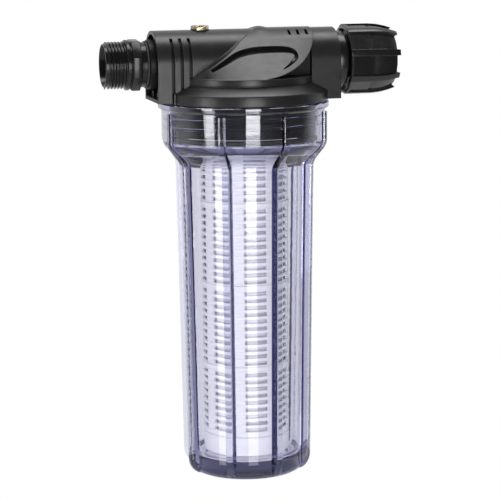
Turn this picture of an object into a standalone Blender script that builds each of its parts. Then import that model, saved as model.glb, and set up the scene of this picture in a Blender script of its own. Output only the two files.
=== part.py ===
"""Pump pre-filter: a moulded head with two pipe ends, a ribbed clear bowl and a washable cartridge.

Sizes are in metres. The origin is the centre of the bowl's flat base. +Z runs up the bowl,
+X runs along the pipe from the inlet to the outlet, and -Y is the front, with the shield.
"""
import math

import bmesh
import bpy
from mathutils import Matrix, Vector

# Clearances
FIT_GAP = 0.0003
SLIDE_GAP = 0.0004
RIM_GAP = 0.0006

# Cartridge, a standard ten inch size
CARTRIDGE_LENGTH = 0.251
CARTRIDGE_RADIUS = 0.0313
CARTRIDGE_BORE = 0.014
GASKET_THICKNESS = 0.0027
GASKET_RADIUS = 0.024
BOTTOM_CAP_HEIGHT = 0.0144
TOP_CAP_HEIGHT = 0.0105
CAP_LIP = 0.0012
CAGE_WALL = 0.0020
CAGE_MIDDLE_ROWS = 11
CAGE_END_ROWS = 9
CAGE_END_BAND = 0.00265
CAGE_SLOT_SHARE = 0.51
CAGE_SECTORS = 8
CAGE_SLOT_ANGLE = math.radians(28.0)
CAGE_RING_HEIGHT = 0.0034
CAGE_RING_PROUD = 0.0006
MESH_WALL = 0.0006
CORE_RADIUS = 0.0172
CORE_WALL = 0.0018
CORE_WINDOW_ROWS = 5
CORE_WINDOW_SECTORS = 6
CORE_WINDOW_ANGLE = math.radians(38.0)
CORE_END_BAND = 0.00472
CORE_WINDOW_SHARE = 0.80

# Bowl
BASE_RADIUS = 0.0370
CORNER_RADIUS = 0.0051
FLOOR_THICKNESS = 0.0062
SEAT_RISE = 0.0053
SEAT_OUTER_RADIUS = 0.0232
KNOB_RISE = 0.0070
WALL_THICKNESS = 0.0036
WALL_TAPER = 0.0031
NECK_FLARE = 0.0082
NECK_HEIGHT = 0.0268
NECK_DROP = 0.0458
LIP_PROUD = 0.0043
LIP_HEIGHT = 0.0066
RIB_COUNT = 8
RIB_PHASE = math.radians(15.8)
RIB_WIDTH = 0.0078
RIB_PROUD_LOW = 0.0055
RIB_PROUD_HIGH = 0.0057
RIB_END_HEIGHT = 0.0120
RIM_ABOVE_CARTRIDGE = 0.0070
SEAL_SHELF_DROP = 0.0270

# Bowl seal
SEAL_SECTION = 0.0034

# Head
HEAD_SEGMENTS = 40
PIPE_SEGMENTS = 24
SEAL_SEGMENTS = 24
SKIRT_WALL = 0.0037
SKIRT_LENGTH = 0.0230
RING3_PROUD = 0.0070
RING3_HEIGHT = 0.0073
RING2_RISE = 0.0058
RING1_SETBACK = 0.0101
RING1_HEIGHT = 0.0050
CEILING_THICKNESS = 0.0120
SPIGOT_RADIUS = 0.0185
GUIDE_RADIUS = 0.0124
GUIDE_REACH = 0.0060
PIPE_RISE = 0.0271
ARCH_RADIUS = 0.0236
ARCH_SEGMENTS = 16
ARCH_LEFT_PROUD = 0.0061
ARCH_RIGHT_PROUD = 0.0056
BLOCK_FOOT = 0.0010
POCKET_DEPTH = 0.0095
POCKET_WALL = 0.0024
SOCKET_RADIUS = 0.0174
SOCKET_PROUD = 0.0038
SOCKET_DEPTH = 0.0160
BOSS_RADIUS = 0.0031
BOSS_OFFSET = 0.0090
BOSS_DROP = 0.0222
CHANNEL_RADIUS = 0.0127
CHANNEL_END_X = -0.0240
DROP_SHAFT_X = -0.0355
DROP_SHAFT_RADIUS = 0.0095
RISER_RADIUS = 0.0095

# Grooves on the left block
GROOVE_COUNT = 3
GROOVE_SETBACK = 0.0109
GROOVE_PITCH = 0.00625
GROOVE_WIDTH = 0.0029
GROOVE_DEPTH = 0.0015
GROOVE_TOP_ANGLE = math.radians(52.0)

# Recess behind the shield
RECESS_LEFT = 0.0080
RECESS_RIGHT = 0.0445
RECESS_DEPTH = 0.0030

# Shield
SHOULDER_HALF = 0.0160
SHOULDER_RISE = 0.0186
CROWN_HALF = 0.0085
CROWN_EDGE_RISE = 0.0230
CROWN_RISE = 0.0243
CROWN_HUMP = 0.0011
HUMP_X = 0.0115
HUMP_HALF = 0.0075
SHIELD_LEFT_SHARE = 0.9145
SHIELD_RIGHT_SETBACK = 0.0019
SHIELD_SPREAD = 0.090
SHIELD_EDGE_X = -0.0020
FLANK_FOOT_SETBACK = 0.0048
FLANK_TOP_X = 0.0065
FLANK_SLOPE = 0.80
FLANK_LEAN_LOW = 0.0020
FLANK_LEAN_HIGH = 0.0120
LEAF_DEPTH = 0.0026
SLOT_COUNT = 3
SLOT_FIRST_X = 0.0309
SLOT_PITCH = 0.0063
SLOT_WIDTH = 0.0017
SLOT_LENGTH = 0.0066
SLOT_DEPTH = 0.0012
SLOT_CENTRE_Y = -0.0118

# Inlet nipple
THREAD_G1_RADIUS = 0.016625
NIPPLE_THREAD_LENGTH = 0.0146
NIPPLE_RING_WIDTH = 0.0034
NIPPLE_RING_RADIUS = 0.0177
NIPPLE_GROOVE_WIDTH = 0.0009
NIPPLE_FLANGE_WIDTH = 0.0066
NIPPLE_FLANGE_RADIUS = 0.0188
NIPPLE_FLANGE_SIDES = 8
NIPPLE_FLANGE_PHASE = math.radians(26.0)
NIPPLE_NECK_WIDTH = 0.0036
NIPPLE_NECK_RADIUS = 0.0159
NIPPLE_BORE = 0.0118
SPIGOT_END_RADIUS = 0.0150
PIPE_SEAL_SECTION = 0.0014
CHAMFER = 0.0010

# Outlet tailpiece and its ring
TAIL_COLLAR_CLEARANCE = 0.0017
TAIL_COLLAR_WIDTH = 0.0071
TAIL_BARREL_RADIUS = 0.0132
TAIL_BARREL_LENGTH = 0.0148
TAIL_WALL = 0.0027
CLIP_WIDTH = 0.0020
CLIP_DEPTH = 0.0010
CLIP_PROUD = 0.0022
CLIP_OPENING = math.radians(24.0)
CLIP_SETBACK = 0.0040
UNION_GASKET_THICKNESS = 0.0030
UNION_GASKET_CLEARANCE = 0.0008

# Union nut
NUT_START_GAP = 0.0006
NUT_LENGTH = 0.0356
NUT_WALL = 0.0093
NUT_DOME_DROP = 0.0034
NUT_RIM_WIDTH = 0.0024
NUT_RIM_POCKET = 0.0030
NUT_RIM_WALL = 0.0029
NUT_STEP_X = 0.0165
NUT_DOME_START = 0.0200
NUT_PANEL_DEPTH = 0.0009
NUT_PANEL_DEPTH_END = 0.0019
NUT_RIBS = 8
NUT_RIB_ANGLE = math.radians(10.9)
NUT_RIB_PHASE = math.radians(13.7)
NUT_RIB_REACH = 0.0020
NUT_CLIP_CLEARANCE = 0.0006

# Vent screw
VENT_X = -0.0313
VENT_FLAT_DEPTH = 0.0016
VENT_FLAT_RADIUS = 0.0072
VENT_SHANK_RADIUS = 0.00385
VENT_SHANK_LENGTH = 0.0120
VENT_HEAD_RADIUS = 0.0066
VENT_HEAD_HEIGHT = 0.0032
VENT_SLOT_WIDTH = 0.0016
VENT_SLOT_DEPTH = 0.0012
VENT_SEAL_THICKNESS = 0.0008
VENT_SEAL_RADIUS = 0.0058

# Radii and places worked out from the sizes above
WALL_RADIUS_LOW = BASE_RADIUS + CORNER_RADIUS
WALL_RADIUS_HIGH = WALL_RADIUS_LOW + WALL_TAPER
RIB_TIP_LOW = WALL_RADIUS_LOW + RIB_PROUD_LOW
RIB_TIP_HIGH = WALL_RADIUS_HIGH + RIB_PROUD_HIGH
THREAD_RADIUS = WALL_RADIUS_HIGH + NECK_FLARE
COLLAR_RADIUS = THREAD_RADIUS + WALL_THICKNESS
LIP_RADIUS = COLLAR_RADIUS + LIP_PROUD
RIB_TIP_COLLAR = LIP_RADIUS - FIT_GAP
SKIRT_RADIUS = THREAD_RADIUS - SLIDE_GAP
RING3_RADIUS = THREAD_RADIUS + RING3_PROUD
RING1_RADIUS = RING3_RADIUS - RING1_SETBACK
ARCH_LEFT = -RING3_RADIUS - ARCH_LEFT_PROUD
ARCH_RIGHT = RING3_RADIUS + ARCH_RIGHT_PROUD
GROOVE_FIRST_X = ARCH_LEFT + GROOVE_SETBACK
SHIELD_LEFT = -RING1_RADIUS * SHIELD_LEFT_SHARE
SHIELD_RIGHT = RING1_RADIUS - SHIELD_RIGHT_SETBACK
FLANK_FOOT_X = SHIELD_LEFT + FLANK_FOOT_SETBACK
TAIL_BORE = TAIL_BARREL_RADIUS - TAIL_WALL
CLIP_RADIUS = TAIL_BARREL_RADIUS + CLIP_PROUD
NUT_BORE = CLIP_RADIUS + NUT_CLIP_CLEARANCE
NUT_RADIUS = NUT_BORE + NUT_WALL
NUT_END_RADIUS = NUT_RADIUS - NUT_DOME_DROP
NUT_RIM_BORE = NUT_RADIUS - NUT_RIM_WALL
TAIL_COLLAR_RADIUS = NUT_RIM_BORE - TAIL_COLLAR_CLEARANCE
UNION_GASKET_RADIUS = NUT_BORE - UNION_GASKET_CLEARANCE

# Heights worked out from the sizes above
SEAT_Z = FLOOR_THICKNESS + SEAT_RISE
CARTRIDGE_Z = SEAT_Z + FIT_GAP
CARTRIDGE_TOP_Z = CARTRIDGE_Z + CARTRIDGE_LENGTH
RIM_Z = CARTRIDGE_TOP_Z + RIM_ABOVE_CARTRIDGE
SHELF_Z = RIM_Z - SEAL_SHELF_DROP
HEAD_Z = RIM_Z + RIM_GAP
SKIRT_Z = HEAD_Z - SKIRT_LENGTH
RING3_TOP_Z = HEAD_Z + RING3_HEIGHT
RING2_TOP_Z = RING3_TOP_Z + RING2_RISE
RING1_TOP_Z = RING2_TOP_Z + RING1_HEIGHT
CEILING_Z = RING1_TOP_Z - CEILING_THICKNESS
PIPE_Z = HEAD_Z + PIPE_RISE
CROWN_Z = PIPE_Z + ARCH_RADIUS
BLOCK_Z = HEAD_Z + BLOCK_FOOT
VENT_FLAT_Z = CROWN_Z - VENT_FLAT_DEPTH

COLOURS = {
    "head_black": ((0.020, 0.020, 0.021), 0.42, 0.0, 1.0),
    "nut_black": ((0.012, 0.012, 0.013), 0.34, 0.0, 1.0),
    "clear_plastic": ((0.74, 0.74, 0.90), 0.06, 0.0, 0.35),
    "white_plastic": ((0.83, 0.83, 0.88), 0.40, 0.0, 1.0),
    "mesh_white": ((0.70, 0.71, 0.76), 0.65, 0.0, 1.0),
    "seal_rubber": ((0.012, 0.012, 0.012), 0.70, 0.0, 1.0),
    "brass": ((0.62, 0.47, 0.20), 0.28, 1.0, 1.0),
    "steel": ((0.55, 0.55, 0.56), 0.30, 1.0, 1.0),
}


def clear_scene():
    """Remove every object that the file holds."""
    for item in list(bpy.data.objects):
        bpy.data.objects.remove(item, do_unlink=True)


def make_material(name):
    """Return the named Principled material, made once."""
    found = bpy.data.materials.get(name)
    if found:
        return found
    colour, roughness, metallic, alpha = COLOURS[name]
    material = bpy.data.materials.new(name)
    material.use_nodes = True
    shader = material.node_tree.nodes["Principled BSDF"]
    shader.inputs["Base Color"].default_value = (*colour, 1.0)
    shader.inputs["Roughness"].default_value = roughness
    shader.inputs["Metallic"].default_value = metallic
    shader.inputs["Alpha"].default_value = alpha
    return material


def add_object(name, bm, material_name=None, origin=(0.0, 0.0, 0.0)):
    """Turn a bmesh in world places into an object whose origin lies at the given point."""
    bmesh.ops.remove_doubles(bm, verts=bm.verts, dist=1e-6)
    bmesh.ops.recalc_face_normals(bm, faces=bm.faces)
    bmesh.ops.translate(bm, verts=bm.verts, vec=-Vector(origin))
    mesh = bpy.data.meshes.new(name)
    bm.to_mesh(mesh)
    bm.free()
    item = bpy.data.objects.new(name, mesh)
    item.location = origin
    bpy.context.scene.collection.objects.link(item)
    if material_name:
        mesh.materials.append(make_material(material_name))
        mesh.shade_smooth()
        mesh.set_sharp_from_angle(angle=math.radians(32.0))
    return item


def circle(radius, height, segments):
    """Return a ring of points about the Z axis, starting at the front."""
    angles = [2 * math.pi * step / segments for step in range(segments)]
    return [(radius * math.sin(a), -radius * math.cos(a), height) for a in angles]


def spin_profile(points, segments):
    """Turn a profile of (radius, height) points about the Z axis.

    A profile whose ends lie on the axis makes a solid. Any other profile is closed into a ring.
    """
    solid = points[0][0] == 0.0 and points[-1][0] == 0.0
    rings = [circle(radius, height, segments) for radius, height in points if radius > 0.0]
    return skin_rings(rings, ring_shaped=not solid)


def along_pipe(bm):
    """Lay a shape that was turned about Z along the pipe axis, with its height along +X."""
    turn = Matrix(((0, 0, 1), (0, 1, 0), (-1, 0, 0)))
    bmesh.ops.rotate(bm, verts=bm.verts, matrix=turn)
    bmesh.ops.translate(bm, verts=bm.verts, vec=(0, 0, PIPE_Z))
    return bm


def skin_rings(rings, ring_shaped=False):
    """Join rings of points, equal in number, into one shell."""
    bm = bmesh.new()
    loops = [[bm.verts.new(point) for point in ring] for ring in rings]
    count = len(loops[0])
    pairs = list(zip(loops, loops[1:]))
    if ring_shaped:
        pairs.append((loops[-1], loops[0]))
    for lower, upper in pairs:
        for i in range(count):
            j = (i + 1) % count
            bm.faces.new((lower[i], lower[j], upper[j], upper[i]))
    if not ring_shaped:
        bm.faces.new(loops[0])
        bm.faces.new(loops[-1])
    return bm


def prism_y(outline, front, back):
    """Extrude an outline of (x, z) points between two Y values."""
    return skin_rings([[(x, y, z) for x, z in outline] for y in (front, back)])


def box(low, high):
    """Make a block between two corners."""
    bm = bmesh.new()
    bmesh.ops.create_cube(bm, size=1.0)
    size = Vector(high) - Vector(low)
    bmesh.ops.scale(bm, verts=bm.verts, vec=size)
    bmesh.ops.translate(bm, verts=bm.verts, vec=(Vector(high) + Vector(low)) / 2)
    return bm


def rod_z(radius, low, high, x=0.0, segments=24):
    """Make an upright round rod."""
    bm = spin_profile([(0.0, low), (radius, low), (radius, high), (0.0, high)], segments)
    bmesh.ops.translate(bm, verts=bm.verts, vec=(x, 0, 0))
    return bm


def rod_x(radius, left, right, segments=PIPE_SEGMENTS):
    """Make a round rod along the pipe axis."""
    return along_pipe(spin_profile([(0.0, left), (radius, left), (radius, right), (0.0, right)], segments))


def combine(target, bm, operation):
    """Join or cut a shape with another by an exact Boolean, and remove the tool."""
    tool = add_object("tool", bm)
    step = target.modifiers.new("step", "BOOLEAN")
    step.object = tool
    step.operation = operation
    step.solver = "EXACT"
    with bpy.context.temp_override(object=target, active_object=target, selected_objects=[target]):
        bpy.ops.object.modifier_apply(modifier=step.name)
    bpy.data.objects.remove(tool, do_unlink=True)
    bm = bmesh.new()
    bm.from_mesh(target.data)
    bmesh.ops.remove_doubles(bm, verts=bm.verts, dist=2e-6)
    bmesh.ops.dissolve_degenerate(bm, edges=bm.edges, dist=2e-6)
    bm.to_mesh(target.data)
    bm.free()
    return target


def cut(target, bm):
    """Cut a shape out of an object."""
    return combine(target, bm, "DIFFERENCE")


def join(target, bm):
    """Fuse a shape to an object."""
    return combine(target, bm, "UNION")


def lerp(low, high, share):
    """Return the value between two others."""
    return low + (high - low) * share


def slotted_tube(radius, wall, low, high, sectors, slot_angle, sections, band, slot_share, ring, proud):
    """Make a tube whose wall is open in rows of slots, in sections parted by raised rings.

    The sections give the number of rows in each, from the bottom. The rows share the length that
    the plain bands at the ends and the rings leave. The slots are centred on the angles 0,
    1/sectors of a turn and so on, counted from -Y.
    """
    marks = []
    for sector in range(sectors):
        centre = 2 * math.pi * sector / sectors
        marks += [centre - slot_angle / 2, centre + slot_angle / 2]
    pitch = (high - low - 2 * band - ring * (len(sections) - 1)) / sum(sections)
    slot_height = pitch * slot_share
    height = low + band
    levels = [(low, 0.0, False)]
    for section, rows in enumerate(sections):
        if section:
            levels += [(height, 0.0, False), (height, proud, False)]
            height += ring
            levels += [(height, proud, False), (height, 0.0, False)]
        for _ in range(rows):
            levels.append((height + (pitch - slot_height) / 2, 0.0, True))
            levels.append((height + (pitch + slot_height) / 2, 0.0, False))
            height += pitch
    levels.append((high, 0.0, False))
    bm = bmesh.new()

    def grid_ring(place, level_radius):
        points = [(level_radius * math.sin(a), -level_radius * math.cos(a), place) for a in marks]
        return [bm.verts.new(point) for point in points]

    outer = [grid_ring(place, radius + extra) for place, extra, _ in levels]
    inner_levels = [k for k, (_, extra, is_open) in enumerate(levels)
                    if is_open or k in (0, len(levels) - 1) or levels[k - 1][2]]
    inner = {k: grid_ring(levels[k][0], radius - wall) for k in inner_levels}
    count = len(marks)
    for k in range(len(levels) - 1):
        for i in range(count):
            j = (i + 1) % count
            if levels[k][2] and i % 2 == 0:
                continue
            bm.faces.new((outer[k][i], outer[k][j], outer[k + 1][j], outer[k + 1][i]))
    for k, following in zip(inner_levels, inner_levels[1:]):
        for i in range(count):
            j = (i + 1) % count
            if levels[k][2] and i % 2 == 0:
                corners = ((k, i), (k, j), (k + 1, j), (k + 1, i))
                for (m, a), (n, b) in zip(corners, corners[1:] + corners[:1]):
                    bm.faces.new((outer[m][a], outer[n][b], inner[n][b], inner[m][a]))
                continue
            bm.faces.new((inner[k][j], inner[k][i], inner[following][i], inner[following][j]))
    for k in (0, len(levels) - 1):
        for i in range(count):
            j = (i + 1) % count
            bm.faces.new((outer[k][i], outer[k][j], inner[k][j], inner[k][i]))
    return bm


def build_cartridge():
    """Build the cage, its mesh sleeve and core, the two end caps and their flat gaskets."""
    low_cap_z = CARTRIDGE_Z + GASKET_THICKNESS + FIT_GAP
    cage_low = low_cap_z + BOTTOM_CAP_HEIGHT + FIT_GAP
    high_cap_top = CARTRIDGE_TOP_Z - GASKET_THICKNESS - FIT_GAP
    cage_high = high_cap_top - TOP_CAP_HEIGHT - FIT_GAP
    for name, low in (("cartridge_bottom_gasket", CARTRIDGE_Z),
                      ("cartridge_top_gasket", CARTRIDGE_TOP_Z - GASKET_THICKNESS)):
        high = low + GASKET_THICKNESS
        ring = [(CARTRIDGE_BORE, low), (GASKET_RADIUS, low), (GASKET_RADIUS, high), (CARTRIDGE_BORE, high)]
        add_object(name, spin_profile(ring, SEAL_SEGMENTS), "seal_rubber")
    for name, outside, inside, height in (
            ("cartridge_bottom_cap", low_cap_z, low_cap_z + BOTTOM_CAP_HEIGHT, BOTTOM_CAP_HEIGHT),
            ("cartridge_top_cap", high_cap_top, high_cap_top - TOP_CAP_HEIGHT, TOP_CAP_HEIGHT)):
        way = 1 if inside > outside else -1
        floor = outside + way * height * 0.4
        cap = [(CARTRIDGE_BORE, outside), (CARTRIDGE_RADIUS - CAP_LIP, outside),
               (CARTRIDGE_RADIUS, outside + way * CAP_LIP), (CARTRIDGE_RADIUS, inside),
               (CARTRIDGE_RADIUS - CAGE_WALL, inside), (CARTRIDGE_RADIUS - CAGE_WALL, floor),
               (CARTRIDGE_BORE, floor)]
        add_object(name, spin_profile(cap, CAGE_SECTORS * 3), "white_plastic")
    sections = (CAGE_END_ROWS, CAGE_MIDDLE_ROWS, CAGE_MIDDLE_ROWS, CAGE_END_ROWS)
    cage = slotted_tube(CARTRIDGE_RADIUS, CAGE_WALL, cage_low, cage_high, CAGE_SECTORS, CAGE_SLOT_ANGLE,
                        sections, CAGE_END_BAND, CAGE_SLOT_SHARE, CAGE_RING_HEIGHT, CAGE_RING_PROUD)
    add_object("cartridge_cage", cage, "white_plastic")
    flat_bar = math.cos(CAGE_SLOT_ANGLE / 2)
    mesh_radius = (CARTRIDGE_RADIUS - CAGE_WALL) * flat_bar - FIT_GAP
    sleeve = [(mesh_radius, cage_low), (mesh_radius, cage_high),
              (mesh_radius - MESH_WALL, cage_high), (mesh_radius - MESH_WALL, cage_low)]
    add_object("cartridge_mesh", spin_profile(sleeve, CAGE_SECTORS * 3), "mesh_white")
    core_low = low_cap_z + BOTTOM_CAP_HEIGHT * 0.4 + FIT_GAP
    core_high = high_cap_top - TOP_CAP_HEIGHT * 0.4 - FIT_GAP
    core = slotted_tube(CORE_RADIUS, CORE_WALL, core_low, core_high, CORE_WINDOW_SECTORS, CORE_WINDOW_ANGLE,
                        (CORE_WINDOW_ROWS,), CORE_END_BAND, CORE_WINDOW_SHARE, 0.0, 0.0)
    add_object("cartridge_core", core, "white_plastic")


def bowl_ring(height, wall_radius, tip_radius, rib_width):
    """Return one ring of the bowl's outside, with the ribs standing on the wall."""
    points = []
    sector = 2 * math.pi / RIB_COUNT
    for rib in range(RIB_COUNT):
        centre = RIB_PHASE + sector * rib
        half_root = rib_width / 2 / wall_radius
        half_tip = rib_width / 2 / tip_radius
        spread = [(-half_root, wall_radius), (-half_tip, tip_radius), (half_tip, tip_radius),
                  (half_root, wall_radius)]
        gap = sector - 2 * half_root
        spread += [(half_root + gap * share, wall_radius) for share in (1 / 3, 2 / 3)]
        for offset, radius in spread:
            angle = centre + offset
            points.append((radius * math.sin(angle), -radius * math.cos(angle), height))
    return points


def build_bowl():
    """Build the clear bowl: a ribbed tapering body, a flared neck and a collar with a lip."""
    collar_z = RIM_Z - NECK_HEIGHT
    neck_z = RIM_Z - NECK_DROP
    lip_z = RIM_Z - LIP_HEIGHT
    rings = [bowl_ring(0.0, BASE_RADIUS, BASE_RADIUS, RIB_WIDTH)]
    corner_steps = 3
    heights = [CORNER_RADIUS * (1 - math.cos(math.radians(90.0) * step / corner_steps))
               for step in range(1, corner_steps + 1)]
    heights += [lerp(CORNER_RADIUS, RIB_END_HEIGHT, 0.5), RIB_END_HEIGHT]
    for height in heights:
        rise = min(1.0, height / CORNER_RADIUS)
        wall = BASE_RADIUS + CORNER_RADIUS * math.sqrt(1 - (1 - rise) ** 2)
        tip = BASE_RADIUS + (RIB_TIP_LOW - BASE_RADIUS) * math.sqrt(1 - (1 - height / RIB_END_HEIGHT) ** 2)
        rings.append(bowl_ring(height, wall, tip, RIB_WIDTH))
    rings.append(bowl_ring(neck_z, WALL_RADIUS_HIGH, RIB_TIP_HIGH, RIB_WIDTH))
    flare_steps = 4
    for step in range(1, flare_steps + 1):
        share = step / flare_steps
        swell = (1 - math.cos(math.pi * share)) / 2
        width = lerp(RIB_WIDTH, RIB_WIDTH * 0.85, share)
        rings.append(bowl_ring(lerp(neck_z, collar_z, share), lerp(WALL_RADIUS_HIGH, COLLAR_RADIUS, swell),
                               lerp(RIB_TIP_HIGH, RIB_TIP_COLLAR, swell), width))
    collar_width = RIB_WIDTH * 0.85
    rings.append(bowl_ring(lip_z, COLLAR_RADIUS, RIB_TIP_COLLAR, collar_width))
    rings.append(bowl_ring(lip_z, LIP_RADIUS, LIP_RADIUS, collar_width))
    rings.append(bowl_ring(RIM_Z, LIP_RADIUS, LIP_RADIUS, collar_width))
    inner_high = WALL_RADIUS_HIGH - WALL_THICKNESS
    inner_low = WALL_RADIUS_LOW - WALL_THICKNESS
    shelf_inner = THREAD_RADIUS - SEAL_SECTION - 4 * FIT_GAP
    knob_radius = CARTRIDGE_BORE - 4 * SLIDE_GAP
    knob_z = SEAT_Z + KNOB_RISE
    inside = [(RIM_Z, THREAD_RADIUS), (SHELF_Z, THREAD_RADIUS), (SHELF_Z, shelf_inner),
              (lerp(SHELF_Z, neck_z, 0.35), lerp(shelf_inner, inner_high, 0.35)),
              (lerp(SHELF_Z, neck_z, 0.75), lerp(shelf_inner, inner_high, 0.85)),
              (neck_z, inner_high), (FLOOR_THICKNESS + CORNER_RADIUS, inner_low),
              (FLOOR_THICKNESS + CORNER_RADIUS * 0.3, inner_low - CORNER_RADIUS * 0.3),
              (FLOOR_THICKNESS, inner_low - CORNER_RADIUS),
              (FLOOR_THICKNESS, SEAT_OUTER_RADIUS), (SEAT_Z, SEAT_OUTER_RADIUS),
              (SEAT_Z, knob_radius), (knob_z, knob_radius * 0.82)]
    rings += [bowl_ring(height, radius, radius, RIB_WIDTH * min(1.0, radius / inner_low))
              for height, radius in inside]
    add_object("bowl", skin_rings(rings), "clear_plastic")


def build_bowl_seal():
    """Build the O-ring that lies on the bowl's inner shelf, under the head's skirt."""
    section = SEAL_SECTION / 2
    centre_radius = THREAD_RADIUS - 2 * FIT_GAP - section
    centre_z = SHELF_Z + FIT_GAP + section / math.cos(math.pi / 6)
    add_object("bowl_o_ring", o_ring(centre_radius, section, centre_z, 40), "seal_rubber")


def o_ring(radius, section, height, segments):
    """Make a round seal of round section about the Z axis."""
    steps = 6
    angles = [2 * math.pi * (step + 0.5) / steps for step in range(steps)]
    reach = section / math.cos(math.pi / steps)
    section_points = [(radius + reach * math.cos(a), height + reach * math.sin(a)) for a in angles]
    return spin_profile(section_points, segments)


def arch_loop(x, bottom):
    """Return the outline of the arched pipe body at one place along X."""
    loop = [(x, -ARCH_RADIUS, bottom)]
    for step in range(ARCH_SEGMENTS + 1):
        angle = math.pi - math.pi * step / ARCH_SEGMENTS
        loop.append((x, ARCH_RADIUS * math.cos(angle), PIPE_Z + ARCH_RADIUS * math.sin(angle)))
    loop.append((x, ARCH_RADIUS, bottom))
    return loop


def groove_cutter(x):
    """Make the tool for one upright groove on the front of the left block."""
    inner = ARCH_RADIUS - GROOVE_DEPTH
    outer = ARCH_RADIUS + GROOVE_DEPTH
    steps = 4
    arc = [GROOVE_TOP_ANGLE * step / steps for step in range(steps + 1)]
    outline = [(-inner, BLOCK_Z - GROOVE_DEPTH)]
    outline += [(-inner * math.cos(a), PIPE_Z + inner * math.sin(a)) for a in arc]
    outline += [(-outer * math.cos(a), PIPE_Z + outer * math.sin(a)) for a in reversed(arc)]
    outline.append((-outer, BLOCK_Z - GROOVE_DEPTH))
    half = GROOVE_WIDTH / 2
    return skin_rings([[(place, y, z) for y, z in outline] for place in (x - half, x + half)])


def shield_section(x):
    """Return the shield's section at one place along X, from the front to just past the crown."""
    if x < 0:
        reach = math.sqrt(RING1_RADIUS ** 2 - x ** 2)
    else:
        reach = RING1_RADIUS * math.sqrt(1 - (x / SHIELD_SPREAD) ** 2)
    reach -= FIT_GAP
    away = min(1.0, abs(x - HUMP_X) / HUMP_HALF)
    hump = CROWN_HUMP * (1 + math.cos(math.pi * away)) / 2
    foot = RING2_TOP_Z + RING1_HEIGHT / 3
    brow = PIPE_Z + lerp(CROWN_EDGE_RISE, CROWN_RISE, 0.7) + 0.9 * hump
    return [(x, CROWN_HALF / 2, foot), (x, -reach, foot), (x, -reach, RING1_TOP_Z - FIT_GAP),
            (x, -SHOULDER_HALF, PIPE_Z + SHOULDER_RISE),
            (x, -CROWN_HALF, PIPE_Z + CROWN_EDGE_RISE + 0.6 * hump), (x, -CROWN_HALF / 2, brow),
            (x, 0.0, PIPE_Z + CROWN_RISE + hump), (x, CROWN_HALF / 2, brow)]


def shield_body():
    """Make the sloping body between ring 1 and the crown, before its outline is trimmed."""
    left_steps = 7
    places = [lerp(SHIELD_LEFT, 0.0, step / left_steps) for step in range(left_steps)]
    places += [HUMP_X + HUMP_HALF * share for share in (-1.5, -1.0, -0.5, 0.0, 0.5, 1.0)]
    places += [lerp(HUMP_X + HUMP_HALF, SHIELD_RIGHT, share) for share in (0.33, 0.66, 1.0)]
    return skin_rings([shield_section(x) for x in places])


def shield_object():
    """Trim the sloping body to its leaf-shaped outline."""
    shield = add_object("shield", shield_body())
    steps = 7
    near, far = [], []
    for step in range(-1, steps + 2):
        share = step / steps
        x = lerp(FLANK_FOOT_X, FLANK_TOP_X, share)
        bow = (1 - FLANK_SLOPE) * math.sin(math.pi * share / 2)
        rise = (CROWN_Z - RING1_TOP_Z) * (FLANK_SLOPE * share + bow)
        eased = max(0.0, min(1.0, share))
        near.append((x, -0.8 * ARCH_RADIUS, RING1_TOP_Z + rise))
        far.append((x, -RING1_RADIUS, RING1_TOP_Z + rise - lerp(FLANK_LEAN_LOW, FLANK_LEAN_HIGH, eased)))
    back = [(x, ARCH_RADIUS, z) for x, _, z in near]
    rings = []
    for line in (back, near, far):
        y = line[0][1]
        rings.append(line + [(line[-1][0], y, 2 * CROWN_Z), (2 * SHIELD_LEFT, y, 2 * CROWN_Z),
                             (2 * SHIELD_LEFT, y, line[0][2])])
    cut(shield, skin_rings(rings))
    drop = CROWN_Z - RING1_TOP_Z
    steps = 14
    reach = SHIELD_RIGHT - SHIELD_EDGE_X
    quarter = [math.radians(90.0) * step / steps for step in range(steps + 1)]
    centre_z = CROWN_Z + 3 * FIT_GAP
    fall = centre_z - RING1_TOP_Z + FIT_GAP
    edge = [(SHIELD_EDGE_X + reach * math.sin(a), centre_z - fall * math.cos(a)) for a in quarter]
    low = RING2_TOP_Z
    high = CROWN_Z + drop
    outside = [(SHIELD_EDGE_X, low)] + edge + [(SHIELD_RIGHT, high), (2 * SHIELD_RIGHT, high),
                                               (2 * SHIELD_RIGHT, low)]
    cut(shield, prism_y(outside, -2 * RING1_RADIUS, RING1_RADIUS))
    return shield


def ribbon(points, half_widths, steps=2):
    """Return the outline of a band that follows a smooth curve through a few points."""
    knots = [Vector(point) for point in points]
    padded = [knots[0] * 2 - knots[1]] + knots + [knots[-1] * 2 - knots[-2]]
    spine = []
    for k in range(len(knots) - 1):
        a, b, c, d = padded[k:k + 4]
        for step in range(steps):
            t = step / steps
            place = (2 * b + (c - a) * t + (2 * a - 5 * b + 4 * c - d) * t ** 2
                     + (3 * b - a - 3 * c + d) * t ** 3) / 2
            spine.append((place, lerp(half_widths[k], half_widths[k + 1], t)))
    spine.append((knots[-1], half_widths[-1]))
    left, right = [], []
    for k, (place, half) in enumerate(spine):
        before = spine[max(0, k - 1)][0]
        after = spine[min(len(spine) - 1, k + 1)][0]
        side = (after - before).normalized().orthogonal()
        left.append(place + side * half)
        right.append(place - side * half)
    return [(point.x, point.y) for point in left + right[::-1]]


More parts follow.
